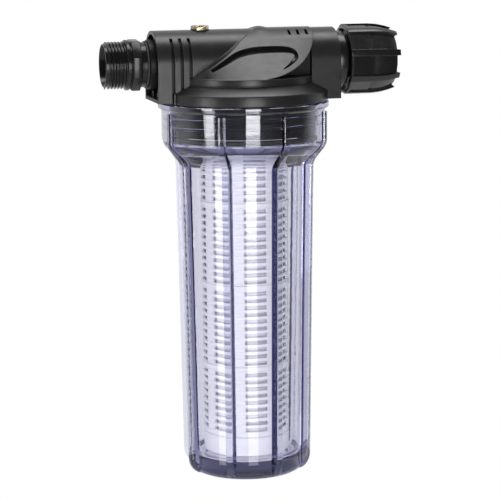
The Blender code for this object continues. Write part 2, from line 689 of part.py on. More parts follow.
def leaf_cutter():
    """Make the tool for the curved groove on the shield."""
    spine = [(-0.0290, 0.0064), (-0.0200, 0.0115), (-0.0108, 0.0163), (0.0000, 0.0186), (0.0120, 0.0192),
             (0.0245, 0.0190), (0.0300, 0.0176), (0.0316, 0.0150), (0.0298, 0.0126), (0.0205, 0.0074)]
    widths = [0.0010, 0.0012, 0.0013, 0.0016, 0.0016, 0.0016, 0.0013, 0.0011, 0.0010, 0.0003]
    outline = [(x, RING1_TOP_Z + z) for x, z in ribbon(spine, widths)]
    tool = add_object("leaf", prism_y(outline, -2 * RING1_RADIUS, -CROWN_HALF))
    slope = math.atan2(CROWN_RISE - (RING1_TOP_Z - PIPE_Z), RING1_RADIUS)
    floor = shield_body()
    bmesh.ops.translate(floor, verts=floor.verts,
                        vec=(0, LEAF_DEPTH * math.sin(slope), -LEAF_DEPTH * math.cos(slope)))
    cut(tool, floor)
    bm = bmesh.new()
    bm.from_mesh(tool.data)
    bpy.data.objects.remove(tool, do_unlink=True)
    return bm


def slot_cutters():
    """Make the tools for the short slots near the shield's top right corner."""
    slope = math.atan2(CROWN_EDGE_RISE - SHOULDER_RISE, SHOULDER_HALF - CROWN_HALF)
    share = (SHOULDER_HALF + SLOT_CENTRE_Y) / (SHOULDER_HALF - CROWN_HALF)
    height = PIPE_Z + lerp(SHOULDER_RISE, CROWN_EDGE_RISE, share)
    tools = []
    for index in range(SLOT_COUNT):
        x = SLOT_FIRST_X + SLOT_PITCH * index
        tool = box((-SLOT_WIDTH / 2, -SLOT_LENGTH / 2, -SLOT_DEPTH),
                   (SLOT_WIDTH / 2, SLOT_LENGTH / 2, SLOT_DEPTH * 4))
        bmesh.ops.rotate(tool, verts=tool.verts, matrix=Matrix.Rotation(slope, 3, "X"))
        bmesh.ops.translate(tool, verts=tool.verts, vec=(x, SLOT_CENTRE_Y, height))
        tools.append(tool)
    return tools


def pocket_cutter(left, right):
    """Make the tool for the hollow in one end of the pipe body."""
    inner = ARCH_RADIUS - POCKET_WALL
    outline = [(-inner, BLOCK_Z + POCKET_WALL)]
    for step in range(ARCH_SEGMENTS + 1):
        angle = math.pi - math.pi * step / ARCH_SEGMENTS
        outline.append((inner * math.cos(angle), PIPE_Z + inner * math.sin(angle)))
    outline.append((inner, BLOCK_Z + POCKET_WALL))
    return skin_rings([[(x, y, z) for y, z in outline] for x in (left, right)])


def head_rings():
    """Turn the cap with its three rings, the threaded skirt and the outlet spigot."""
    spigot_z = CARTRIDGE_TOP_Z + FIT_GAP
    guide_z = spigot_z - GUIDE_REACH
    inner = SKIRT_RADIUS - SKIRT_WALL
    profile = [(0.0, RING1_TOP_Z), (RING1_RADIUS, RING1_TOP_Z), (RING1_RADIUS, RING2_TOP_Z),
               (RING3_RADIUS, RING3_TOP_Z), (RING3_RADIUS, HEAD_Z), (SKIRT_RADIUS, HEAD_Z),
               (SKIRT_RADIUS, SKIRT_Z), (inner, SKIRT_Z), (inner, CEILING_Z), (SPIGOT_RADIUS, CEILING_Z),
               (SPIGOT_RADIUS, spigot_z), (GUIDE_RADIUS + CHAMFER, spigot_z), (GUIDE_RADIUS, guide_z),
               (0.0, guide_z)]
    return spin_profile(profile, HEAD_SEGMENTS)


def build_head():
    """Build the moulded head as one body, worked on its front half and then mirrored."""
    web_z = lerp(CEILING_Z, RING1_TOP_Z, 0.4)
    arch = skin_rings([arch_loop(x, BLOCK_Z) for x in (ARCH_LEFT, ARCH_RIGHT)])
    head = add_object("head_housing", arch, "head_black")
    cut(head, rod_z(SKIRT_RADIUS - SKIRT_WALL / 2, SKIRT_Z, web_z, 0.0, HEAD_SEGMENTS))
    for index in range(GROOVE_COUNT):
        cut(head, groove_cutter(GROOVE_FIRST_X + GROOVE_PITCH * index))
    recess_y = ARCH_RADIUS - RECESS_DEPTH
    cut(head, box((RECESS_LEFT, -2 * ARCH_RADIUS, RING2_TOP_Z), (RECESS_RIGHT, -recess_y, CROWN_Z)))
    join(head, head_rings())
    first_groove = GROOVE_FIRST_X + GROOVE_WIDTH / 2
    cut(head, box((ARCH_LEFT - ARCH_RADIUS, -2 * ARCH_RADIUS, HEAD_Z - FIT_GAP),
                  (first_groove, -ARCH_RADIUS, CROWN_Z)))
    shield = shield_object()
    bm = bmesh.new()
    bm.from_mesh(shield.data)
    bpy.data.objects.remove(shield, do_unlink=True)
    join(head, bm)
    for sign, end, proud in ((-1, ARCH_LEFT, SOCKET_PROUD), (1, ARCH_RIGHT, 0.0)):
        floor_x = end - sign * POCKET_DEPTH
        root_x = floor_x - sign * POCKET_WALL
        cut(head, pocket_cutter(*sorted((floor_x, end + sign * POCKET_WALL))))
        join(head, rod_x(SOCKET_RADIUS, *sorted((root_x, end + sign * proud))))
        boss = rod_x(BOSS_RADIUS, *sorted((root_x, end - sign * POCKET_WALL)), 12)
        bmesh.ops.translate(boss, verts=boss.verts, vec=(0, -BOSS_OFFSET, -BOSS_DROP))
        join(head, boss)
    cut(head, leaf_cutter())
    for tool in slot_cutters():
        cut(head, tool)
    socket_bore = SPIGOT_END_RADIUS + FIT_GAP
    cut(head, rod_x(socket_bore, ARCH_LEFT - 2 * SOCKET_PROUD, ARCH_LEFT + SOCKET_DEPTH))
    cut(head, rod_x(CHANNEL_RADIUS, ARCH_LEFT + SOCKET_DEPTH / 2, CHANNEL_END_X))
    cut(head, rod_z(DROP_SHAFT_RADIUS, SKIRT_Z, PIPE_Z, DROP_SHAFT_X, 16))
    cut(head, rod_x(socket_bore, ARCH_RIGHT - SOCKET_DEPTH, ARCH_RIGHT + 2 * SOCKET_PROUD))
    cut(head, rod_x(CHANNEL_RADIUS, -RISER_RADIUS / 2, ARCH_RIGHT - SOCKET_DEPTH / 2))
    cut(head, rod_z(RISER_RADIUS, SKIRT_Z, PIPE_Z, 0.0, 16))
    cut(head, rod_z(VENT_SHANK_RADIUS + FIT_GAP, PIPE_Z, CROWN_Z * 1.1, VENT_X, 16))
    cut(head, rod_z(VENT_FLAT_RADIUS, VENT_FLAT_Z, CROWN_Z * 1.1, VENT_X, 24))
    mirror_front(head)
    return head


def mirror_front(item):
    """Keep the front half of an object and mirror it to the back."""
    bm = bmesh.new()
    bm.from_mesh(item.data)
    bmesh.ops.remove_doubles(bm, verts=bm.verts, dist=2e-6)
    whole = bm.verts[:] + bm.edges[:] + bm.faces[:]
    bmesh.ops.bisect_plane(bm, geom=whole, dist=2e-6, plane_co=(0, 0, 0), plane_no=(0, 1, 0),
                           clear_outer=True)
    bmesh.ops.dissolve_limit(bm, angle_limit=math.radians(0.3), verts=bm.verts, edges=bm.edges)
    bm.to_mesh(item.data)
    bm.free()
    mirror = item.modifiers.new("mirror", "MIRROR")
    mirror.use_axis = (False, True, False)
    mirror.use_clip = True
    mirror.merge_threshold = 0.00001
    item.data.shade_smooth()
    item.data.set_sharp_from_angle(angle=math.radians(32.0))


def polygon_radius(angle, corner, sides, phase):
    """Return the distance from the centre to the edge of a regular polygon at one angle."""
    side = 2 * math.pi / sides
    local = (angle - phase) % side
    return corner * math.cos(side / 2) / math.cos(local - side / 2)


def pipe_ring(x, radius_at, count, phase=0.0):
    """Return a ring of points about the pipe axis. Angles count from the front upwards."""
    ring = []
    for index in range(count):
        angle = phase + 2 * math.pi * index / count
        radius = radius_at(angle)
        ring.append((x, -radius * math.cos(angle), PIPE_Z + radius * math.sin(angle)))
    return ring


def build_inlet():
    """Build the threaded inlet nipple, with its spanner flange, and the seal at the socket."""
    count = NIPPLE_FLANGE_SIDES * 3
    phase = NIPPLE_FLANGE_PHASE
    seal_high = ARCH_LEFT - SOCKET_PROUD
    neck_end = seal_high - PIPE_SEAL_SECTION - 2 * FIT_GAP
    flange_end = neck_end - NIPPLE_NECK_WIDTH
    flange_start = flange_end - NIPPLE_FLANGE_WIDTH
    ring_end = flange_start - NIPPLE_GROOVE_WIDTH
    ring_start = ring_end - NIPPLE_RING_WIDTH
    left = ring_start - NIPPLE_THREAD_LENGTH
    inner_end = ARCH_LEFT + SOCKET_DEPTH - FIT_GAP

    def flange_radius(angle):
        return polygon_radius(angle, NIPPLE_FLANGE_RADIUS, NIPPLE_FLANGE_SIDES, phase)

    round_steps = [(left, THREAD_G1_RADIUS - CHAMFER), (left + CHAMFER, THREAD_G1_RADIUS),
                   (ring_start, THREAD_G1_RADIUS), (ring_start, NIPPLE_RING_RADIUS),
                   (ring_end, NIPPLE_RING_RADIUS), (ring_end, THREAD_G1_RADIUS),
                   (flange_start, THREAD_G1_RADIUS)]
    rings = [pipe_ring(x, lambda a, r=r: r, count, phase) for x, r in round_steps]
    for x in (flange_start, flange_end):
        rings.append(pipe_ring(x, flange_radius, count, phase))
    tail = [(flange_end, NIPPLE_NECK_RADIUS), (neck_end, NIPPLE_NECK_RADIUS), (neck_end, SPIGOT_END_RADIUS),
            (inner_end, SPIGOT_END_RADIUS), (inner_end, NIPPLE_BORE), (left, NIPPLE_BORE)]
    rings += [pipe_ring(x, lambda a, r=r: r, count, phase) for x, r in tail]
    add_object("inlet_nipple", skin_rings(rings, ring_shaped=True), "head_black")
    section = PIPE_SEAL_SECTION / 2
    seal_x = seal_high - FIT_GAP - section
    seal = o_ring(SPIGOT_END_RADIUS + FIT_GAP + section, section, seal_x, SEAL_SEGMENTS)
    add_object("inlet_o_ring", along_pipe(seal), "seal_rubber")


def build_outlet():
    """Build the outlet tailpiece, its seal, the clip that holds the nut, and the flat gasket."""
    collar_left = ARCH_RIGHT + FIT_GAP
    collar_right = collar_left + TAIL_COLLAR_WIDTH
    end = collar_right + TAIL_BARREL_LENGTH
    clip_right = end - CLIP_SETBACK + CLIP_WIDTH
    clip_left = clip_right - CLIP_WIDTH - 2 * FIT_GAP
    seal_groove = SPIGOT_END_RADIUS - PIPE_SEAL_SECTION / 2
    seal_x = ARCH_RIGHT - SOCKET_DEPTH / 2
    half = PIPE_SEAL_SECTION / 2 + FIT_GAP
    profile = [(TAIL_BORE, ARCH_RIGHT - SOCKET_DEPTH + FIT_GAP),
               (SPIGOT_END_RADIUS, ARCH_RIGHT - SOCKET_DEPTH + FIT_GAP),
               (SPIGOT_END_RADIUS, seal_x - half), (seal_groove - PIPE_SEAL_SECTION / 2, seal_x - half),
               (seal_groove - PIPE_SEAL_SECTION / 2, seal_x + half), (SPIGOT_END_RADIUS, seal_x + half),
               (SPIGOT_END_RADIUS, collar_left), (TAIL_COLLAR_RADIUS, collar_left),
               (TAIL_COLLAR_RADIUS, collar_right - CHAMFER), (TAIL_COLLAR_RADIUS - CHAMFER, collar_right),
               (TAIL_BARREL_RADIUS, collar_right), (TAIL_BARREL_RADIUS, clip_left),
               (TAIL_BARREL_RADIUS - CLIP_DEPTH, clip_left), (TAIL_BARREL_RADIUS - CLIP_DEPTH, clip_right),
               (TAIL_BARREL_RADIUS, clip_right), (TAIL_BARREL_RADIUS, end), (TAIL_BORE, end)]
    add_object("outlet_tailpiece", along_pipe(spin_profile(profile, PIPE_SEGMENTS)), "head_black")
    section = (SPIGOT_END_RADIUS - seal_groove + PIPE_SEAL_SECTION / 2 - FIT_GAP) / 2
    seal = o_ring(SPIGOT_END_RADIUS - section, section, seal_x, SEAL_SEGMENTS)
    add_object("outlet_o_ring", along_pipe(seal), "seal_rubber")
    clip_inner = TAIL_BARREL_RADIUS - CLIP_DEPTH + FIT_GAP
    clip = [(clip_inner, clip_left + FIT_GAP), (CLIP_RADIUS, clip_left + FIT_GAP),
            (CLIP_RADIUS, clip_right - FIT_GAP), (clip_inner, clip_right - FIT_GAP)]
    steps = 24
    sweep = 2 * math.pi - CLIP_OPENING
    rings = []
    for step in range(steps + 1):
        angle = CLIP_OPENING / 2 + sweep * step / steps
        rings.append([(x, r * math.sin(angle), PIPE_Z - r * math.cos(angle)) for r, x in clip])
    add_object("nut_retaining_ring", skin_rings(rings), "steel")
    low = end + FIT_GAP
    high = low + UNION_GASKET_THICKNESS
    gasket = [(TAIL_BORE, low), (UNION_GASKET_RADIUS, low), (UNION_GASKET_RADIUS, high), (TAIL_BORE, high)]
    add_object("union_gasket", along_pipe(spin_profile(gasket, SEAL_SEGMENTS)), "seal_rubber")


def nut_profile_radius(distance):
    """Return the radius over the nut's ribs at a distance from its rim."""
    if distance <= NUT_DOME_START:
        return NUT_RADIUS
    share = (distance - NUT_DOME_START) / (NUT_LENGTH - NUT_DOME_START)
    return NUT_RADIUS - (NUT_RADIUS - NUT_END_RADIUS) * share ** 2


def nut_ring(start, distance, rib_radius, panel_radius, rib_reach=0.0):
    """Return one ring of the nut's outside. The ribs may stand out and reach further along X."""
    points = []
    sector = 2 * math.pi / NUT_RIBS
    half = NUT_RIB_ANGLE / 2
    gap = sector - NUT_RIB_ANGLE
    for rib in range(NUT_RIBS):
        centre = NUT_RIB_PHASE + sector * rib
        spread = [(-half, rib_radius, rib_reach), (half, rib_radius, rib_reach), (half, panel_radius, 0.0)]
        spread += [(half + gap * share, panel_radius, 0.0) for share in (1 / 2, 1)]
        for offset, radius, reach in spread:
            angle = centre + offset
            points.append((start + distance + reach, -radius * math.cos(angle),
                           PIPE_Z + radius * math.sin(angle)))
    return points


def build_nut():
    """Build the union nut, with its rim, eight grip ribs and two rows of sunk panels."""
    start = ARCH_RIGHT + FIT_GAP + TAIL_COLLAR_WIDTH + NUT_START_GAP
    wall_left = NUT_RIM_POCKET
    wall_right = TAIL_BARREL_LENGTH - CLIP_SETBACK - NUT_START_GAP - 4 * FIT_GAP
    lead = CHAMFER / 2
    rings = [nut_ring(start, 0.0, NUT_RADIUS - lead, NUT_RADIUS - 2 * lead),
             nut_ring(start, lead, NUT_RADIUS, NUT_RADIUS - lead),
             nut_ring(start, NUT_RIM_WIDTH, NUT_RADIUS, NUT_RADIUS - lead),
             nut_ring(start, NUT_RIM_WIDTH, NUT_RADIUS, NUT_RADIUS - NUT_PANEL_DEPTH - lead),
             nut_ring(start, NUT_STEP_X, NUT_RADIUS, NUT_RADIUS - NUT_PANEL_DEPTH - lead),
             nut_ring(start, NUT_STEP_X + lead, NUT_RADIUS, NUT_RADIUS - NUT_PANEL_DEPTH_END - lead)]
    for share in (0.0, 0.4, 0.75, 1.0):
        distance = lerp(NUT_DOME_START, NUT_LENGTH, share)
        radius = nut_profile_radius(distance)
        reach = NUT_RIB_REACH * share ** 2
        rings.append(nut_ring(start, distance, radius, radius - NUT_PANEL_DEPTH_END, reach))
    end_rim = NUT_END_RADIUS - NUT_PANEL_DEPTH_END
    rings.append(nut_ring(start, NUT_LENGTH, end_rim, end_rim - CHAMFER))
    clip_bore = TAIL_BARREL_RADIUS + SLIDE_GAP
    inside = [(NUT_LENGTH, NUT_BORE + CHAMFER), (NUT_LENGTH - CHAMFER, NUT_BORE), (wall_right, NUT_BORE),
              (wall_right, clip_bore), (wall_left, clip_bore), (wall_left, NUT_RIM_BORE), (0.0, NUT_RIM_BORE)]
    rings += [nut_ring(start, distance, radius, radius - FIT_GAP / 10) for distance, radius in inside]
    nut = skin_rings(rings, ring_shaped=True)
    add_object("union_nut", nut, "nut_black", origin=(start, 0.0, PIPE_Z))


def build_vent():
    """Build the brass bleed screw on top of the inlet side, and its flat seal."""
    seal_low = VENT_FLAT_Z + FIT_GAP
    seal_high = seal_low + VENT_SEAL_THICKNESS
    seal_bore = VENT_SHANK_RADIUS + FIT_GAP
    seal = spin_profile([(seal_bore, seal_low), (VENT_SEAL_RADIUS, seal_low), (VENT_SEAL_RADIUS, seal_high),
                         (seal_bore, seal_high)], 24)
    bmesh.ops.translate(seal, verts=seal.verts, vec=(VENT_X, 0, 0))
    add_object("vent_seal", seal, "seal_rubber", origin=(VENT_X, 0.0, seal_low))
    head_low = seal_high + FIT_GAP
    head_high = head_low + VENT_HEAD_HEIGHT
    tip = head_low - VENT_SHANK_LENGTH
    count = 24
    edge = CHAMFER * 0.6

    def screw_ring(height, radius, sides):
        ring = []
        for index in range(count):
            angle = 2 * math.pi * index / count
            reach = polygon_radius(angle, radius, sides, 0.0) if sides else radius
            ring.append((VENT_X + reach * math.cos(angle), reach * math.sin(angle), height))
        return ring

    rings = [screw_ring(tip, VENT_SHANK_RADIUS - edge, 0), screw_ring(tip + edge, VENT_SHANK_RADIUS, 0),
             screw_ring(head_low, VENT_SHANK_RADIUS, 0), screw_ring(head_low, VENT_HEAD_RADIUS, 6),
             screw_ring(head_high - edge, VENT_HEAD_RADIUS, 6),
             screw_ring(head_high, VENT_HEAD_RADIUS * 0.86, 0)]
    screw = add_object("vent_screw", skin_rings(rings), "brass", origin=(VENT_X, 0.0, head_low))
    half = VENT_SLOT_WIDTH / 2
    slot = box((VENT_X - half, -2 * VENT_HEAD_RADIUS, head_high - VENT_SLOT_DEPTH),
               (VENT_X + half, 2 * VENT_HEAD_RADIUS, head_high + VENT_SLOT_DEPTH))
    cut(screw, slot)


def build_part():
    """Build every piece of the pre-filter."""
    clear_scene()
    build_bowl()
    build_bowl_seal()
    build_cartridge()
    build_head()
    build_inlet()
    build_outlet()
    build_nut()
    build_vent()


build_part()
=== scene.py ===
"""Pump pre-filter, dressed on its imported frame: moulded head, union nut, clear ribbed bowl and cartridge."""
import logging
import math
from dataclasses import dataclass, field
from enum import Enum
from typing import Callable, Iterable, List, Sequence, Tuple

import bmesh
import bpy
from mathutils import Matrix, Vector


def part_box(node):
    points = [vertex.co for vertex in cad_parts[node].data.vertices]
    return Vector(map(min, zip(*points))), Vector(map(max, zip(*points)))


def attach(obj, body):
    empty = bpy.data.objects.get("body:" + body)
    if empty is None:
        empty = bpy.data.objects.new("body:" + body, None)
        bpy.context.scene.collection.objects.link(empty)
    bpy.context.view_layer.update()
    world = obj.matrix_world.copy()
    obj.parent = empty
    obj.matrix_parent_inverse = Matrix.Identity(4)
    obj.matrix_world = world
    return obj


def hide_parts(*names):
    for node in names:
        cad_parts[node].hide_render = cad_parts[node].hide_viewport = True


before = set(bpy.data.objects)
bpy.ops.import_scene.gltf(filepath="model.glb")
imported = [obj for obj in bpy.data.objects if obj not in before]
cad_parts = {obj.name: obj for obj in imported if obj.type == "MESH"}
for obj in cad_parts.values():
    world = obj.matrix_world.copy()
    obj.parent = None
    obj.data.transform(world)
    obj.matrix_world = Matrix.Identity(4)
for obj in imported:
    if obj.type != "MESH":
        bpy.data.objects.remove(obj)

LOG = logging.getLogger("pre_filter")
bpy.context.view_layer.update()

Point2 = Tuple[float, float]
Point3 = Tuple[float, float, float]
Colour = Tuple[float, float, float]


class Axis(Enum):
    """The line that a turned piece stands on."""

    BOWL = "bowl"
    PIPE = "pipe"


PIPE_HEIGHT: float = 0.2975
PIPE_THREAD_PITCH: float = 0.002309


class Bench:
    """The modelling moves that every sub-assembly shares."""

    @staticmethod
    def clear_selection() -> None:
        """Leave nothing selected, in object mode."""
        if bpy.context.object and bpy.context.object.mode != "OBJECT":
            bpy.ops.object.mode_set(mode="OBJECT")
        bpy.ops.object.select_all(action="DESELECT")

    @staticmethod
    def pick(piece: bpy.types.Object) -> None:
        """Make one piece the only selected and active one.

        Args:
            piece: The piece.
        """
        Bench.clear_selection()
        piece.select_set(True)
        bpy.context.view_layer.objects.active = piece

    @staticmethod
    def pick_vertices(piece: bpy.types.Object, test: Callable[[Vector], bool]) -> int:
        """Select the vertices that pass a test, in edit mode.

        Args:
            piece: The piece in edit mode.
            test: Says whether a vertex at a place is wanted.

        Returns:
            How many vertices were selected.
        """
        mesh = bmesh.from_edit_mesh(piece.data)
        bpy.ops.mesh.select_mode(type="VERT")
        count = 0
        for vertex in mesh.verts:
            vertex.select = test(vertex.co)
            count += vertex.select
        mesh.select_flush(True)
        mesh.select_flush(False)
        bmesh.update_edit_mesh(piece.data)
        return count

    @staticmethod
    def settle(piece: bpy.types.Object, axis: Axis = Axis.BOWL, lift: Vector = Vector((0, 0, 0))) -> None:
        """Lay a piece on its axis and apply its place to the mesh.

        Args:
            piece: The piece, modelled about the Z axis.
            axis: The line that it stands on.
            lift: Where its own zero goes.
        """
        Bench.pick(piece)
        if axis is Axis.PIPE:
            piece.rotation_euler = (0.0, math.radians(90.0), 0.0)
            piece.location = Vector((0.0, 0.0, PIPE_HEIGHT)) + lift
        else:
            piece.location = piece.location + lift
        bpy.ops.object.transform_apply(location=True, rotation=True, scale=True)

    @staticmethod
    def turn_profile(name: str, profile: Sequence[Point2], segments: int, solid: bool = False,
                     turn: float = 0.0) -> bpy.types.Object:
        """Turn a profile about Z by extruding one circle from step to step.

        Args:
            name: The new piece's name.
            profile: Points of radius and height, in order along the surface.
            segments: How many sides the circle has.
            solid: Whether the two ends are filled, instead of joined into a ring.
            turn: How far the circle is turned about Z, in radians.

        Returns:
            The piece, with its faces pointing outwards.
        """
        Bench.clear_selection()
        radius, height = profile[0]
        bpy.ops.mesh.primitive_circle_add(vertices=segments, radius=radius, location=(0.0, 0.0, height),
                                          rotation=(0.0, 0.0, turn))
        piece = bpy.context.object
        piece.name = name
        bpy.ops.object.transform_apply(location=True, rotation=True, scale=True)
        bpy.ops.object.mode_set(mode="EDIT")
        bpy.ops.mesh.select_mode(type="VERT")
        bpy.ops.mesh.select_all(action="SELECT")
        steps = list(profile[1:]) + ([] if solid else [profile[0]])
        for new_radius, new_height in steps:
            bpy.ops.mesh.extrude_region_move(
                TRANSFORM_OT_translate={"value": (0.0, 0.0, new_height - height)})
            ratio = new_radius / radius
            bpy.ops.transform.resize(value=(ratio, ratio, 1.0), center_override=(0.0, 0.0, new_height))
            radius, height = new_radius, new_height
        if solid:
            bpy.ops.mesh.edge_face_add()
            first = profile[0]
            Bench.pick_vertices(piece, lambda co: abs(co.z - first[1]) < 1e-7
                                and abs(co.xy.length - first[0]) < 1e-5)
            bpy.ops.mesh.edge_face_add()
        bpy.ops.mesh.select_all(action="SELECT")
        bpy.ops.mesh.remove_doubles(threshold=1e-6)
        bpy.ops.mesh.normals_make_consistent(inside=False)
        bpy.ops.object.mode_set(mode="OBJECT")
        return piece

    @staticmethod
    def helix(name: str, root: float, crest: float, low: float, turns: float, pitch: float,
              root_width: float, crest_width: float, per_turn: int = 64) -> bpy.types.Object:
        """Wind one thread ridge about Z, from a four-sided section and the Screw modifier.

        Args:
            name: The new piece's name.
            root: Radius of the section's wide side.
            crest: Radius of its narrow side, inside or outside the root.
            low: Height of the section's middle where the thread starts.
            turns: Number of turns.
            pitch: Rise of one turn.
            root_width: Height of the section at the root.
            crest_width: Height of the section at the crest.
            per_turn: Steps in one turn.

        Returns:
            The closed ridge.
        """
        Bench.clear_selection()
        middle = (root + crest) / 2
        bpy.ops.mesh.primitive_plane_add(size=1.0, location=(middle, 0.0, low),
                                         rotation=(math.radians(90.0), 0.0, 0.0))
        ridge = bpy.context.object
        ridge.name = name
        ridge.scale = (abs(crest - root), root_width, 1.0)
        bpy.ops.object.transform_apply(location=True, rotation=True, scale=True)
        bpy.ops.object.mode_set(mode="EDIT")
        Bench.pick_vertices(ridge, lambda co: abs(co.x - crest) < 1e-6)
        bpy.ops.transform.resize(value=(1.0, 1.0, crest_width / root_width),
                                 center_override=(crest, 0.0, low))
        bpy.ops.mesh.select_all(action="SELECT")
        bpy.ops.mesh.delete(type="ONLY_FACE")
        bpy.ops.object.mode_set(mode="OBJECT")
        winding = ridge.modifiers.new("winding", "SCREW")
        winding.angle = math.radians(360.0) * turns
        winding.screw_offset = pitch * turns
        winding.steps = winding.render_steps = int(per_turn * turns)
        winding.axis = "Z"
        winding.use_smooth_shade = False
        bpy.ops.object.modifier_apply(modifier=winding.name)
        bpy.ops.object.mode_set(mode="EDIT")
        bpy.ops.mesh.select_all(action="SELECT")
        bpy.ops.mesh.fill_holes(sides=4)
        bpy.ops.mesh.select_all(action="SELECT")
        bpy.ops.mesh.normals_make_consistent(inside=False)
        bpy.ops.object.mode_set(mode="OBJECT")
        return ridge

    @staticmethod
    def loft(name: str, sections: Sequence[Sequence[Point3]]) -> bpy.types.Object:
        """Draw a grid over equal closed sections, close its seam and fill both ends.

        Args:
            name: The new piece's name.
            sections: Closed outlines with the same number of points, in order.

        Returns:
            The closed skin.
        """
        rows, columns = len(sections), len(sections[0]) + 1
        Bench.clear_selection()
        bpy.ops.mesh.primitive_grid_add(x_subdivisions=columns - 1, y_subdivisions=rows - 1, size=1.0)
        skin = bpy.context.object
        skin.name = name
        for vertex in skin.data.vertices:
            column = round((vertex.co.x + 0.5) * (columns - 1)) % (columns - 1)
            row = round((vertex.co.y + 0.5) * (rows - 1))
            vertex.co = sections[row][column]
        bpy.ops.object.mode_set(mode="EDIT")
        bpy.ops.mesh.select_all(action="SELECT")
        bpy.ops.mesh.remove_doubles(threshold=1e-6)
        bpy.ops.mesh.fill_holes(sides=0)
        bpy.ops.mesh.select_all(action="SELECT")
        bpy.ops.mesh.normals_make_consistent(inside=False)
        bpy.ops.object.mode_set(mode="OBJECT")
        return skin

    @staticmethod
    def block(name: str, low: Point3, high: Point3) -> bpy.types.Object:
        """Add a block between two corners.

        Args:
            name: The new piece's name.
            low: The corner with the smallest coordinates.
            high: The corner with the largest coordinates.

        Returns:
            The block.
        """
        Bench.clear_selection()
        middle = (Vector(low) + Vector(high)) / 2
        bpy.ops.mesh.primitive_cube_add(size=1.0, location=middle)
        piece = bpy.context.object
        piece.name = name
        piece.scale = Vector(high) - Vector(low)
        bpy.ops.object.transform_apply(location=True, rotation=True, scale=True)
        return piece

    @staticmethod
    def rod(name: str, radius: float, low: float, high: float, axis: Axis, centre: Point2 = (0.0, 0.0),
            segments: int = 64) -> bpy.types.Object:
        """Add a round rod along the bowl's or the pipe's axis.

        Args:
            name: The new piece's name.
            radius: Its radius.
            low: Where it starts along its axis.
            high: Where it ends.
            axis: The line it runs along.
            centre: Its place across that line: X and Y on the bowl, Y and Z on the pipe.
            segments: How many sides it has.

        Returns:
            The rod.
        """
        Bench.clear_selection()
        middle = (low + high) / 2
        if axis is Axis.PIPE:
            place, turn = (middle, centre[0], centre[1]), (0.0, math.radians(90.0), 0.0)
        else:
            place, turn = (centre[0], centre[1], middle), (0.0, 0.0, 0.0)
        bpy.ops.mesh.primitive_cylinder_add(vertices=segments, radius=radius, depth=high - low,
                                            location=place, rotation=turn)
        piece = bpy.context.object
        piece.name = name
        bpy.ops.object.transform_apply(location=True, rotation=True, scale=True)
        return piece

    @staticmethod
    def cut(piece: bpy.types.Object, tools: Iterable[bpy.types.Object]) -> None:
        """Take several tools away from a piece, one after another.

        Args:
            piece: The piece that is cut.
            tools: The tools, which are used up.
        """
        for tool in tools:
            Bench.merge_solids(piece, tool, "DIFFERENCE")

    @staticmethod
    def mirror_front(piece: bpy.types.Object) -> None:
        """Keep the front half of a piece and mirror it to the back.

        Args:
            piece: The piece, open or closed across Y = 0.
        """
        Bench.pick(piece)
        bpy.ops.object.mode_set(mode="EDIT")
        bpy.ops.mesh.select_all(action="SELECT")
        bpy.ops.mesh.remove_doubles(threshold=2e-6)
        bpy.ops.mesh.bisect(plane_co=(0.0, 0.0, 0.0), plane_no=(0.0, 1.0, 0.0), clear_outer=True,
                            threshold=2e-6)
        bpy.ops.object.mode_set(mode="OBJECT")
        mirror = piece.modifiers.new("mirror", "MIRROR")
        mirror.use_axis = (False, True, False)
        mirror.use_clip = True
        mirror.merge_threshold = 0.00001
        bpy.ops.object.modifier_apply(modifier=mirror.name)

    @staticmethod
    def join(name: str, parts: Iterable[bpy.types.Object]) -> bpy.types.Object:
        """Join several closed shells into one piece.

        Args:
            name: The joined piece's name.
            parts: The shells, which are used up.

        Returns:
            The joined piece.
        """
        members = list(parts)
        Bench.pick(members[0])
        for member in members[1:]:
            member.select_set(True)
        if len(members) > 1:
            bpy.ops.object.join()
        members[0].name = name
        return members[0]

    @staticmethod
    def merge_solids(target: bpy.types.Object, tool: bpy.types.Object, operation: str) -> None:
        """Apply one exact Boolean and delete its tool.

        Args:
            target: The piece that is changed.
            tool: The piece that is added or taken away.
            operation: UNION or DIFFERENCE.
        """
        Bench.pick(target)
        change = target.modifiers.new("shape", "BOOLEAN")
        change.operation = operation
        change.solver = "EXACT"
        change.use_self = operation == "UNION"
        change.object = tool
        bpy.ops.object.modifier_apply(modifier=change.name)
        bpy.data.objects.remove(tool, do_unlink=True)

    @staticmethod
    def round_edges(piece: bpy.types.Object, width: float, segments: int = 2,
                    angle: float = 32.0) -> None:
        """Round the sharp edges with an applied Bevel modifier.

        Args:
            piece: The piece whose edges are rounded.
            width: Width of the rounded edges.
            segments: Steps across a rounded edge.
            angle: Only edges sharper than this, in degrees, are rounded.
        """
        Bench.pick(piece)
        edge = piece.modifiers.new("edges", "BEVEL")
        edge.width = width
        edge.segments = segments
        edge.limit_method = "ANGLE"
        edge.angle_limit = math.radians(angle)
        edge.use_clamp_overlap = True
        edge.harden_normals = False
        bpy.ops.object.modifier_apply(modifier=edge.name)

    @staticmethod
    def smooth(piece: bpy.types.Object, angle: float = 32.0) -> None:
        """Shade a piece smooth, apart from the edges above an angle.

        Args:
            piece: The piece that is shaded.
            angle: Edges sharper than this, in degrees, stay sharp.
        """
        Bench.pick(piece)
        bpy.ops.object.shade_smooth_by_angle(angle=math.radians(angle), keep_sharp_edges=False)

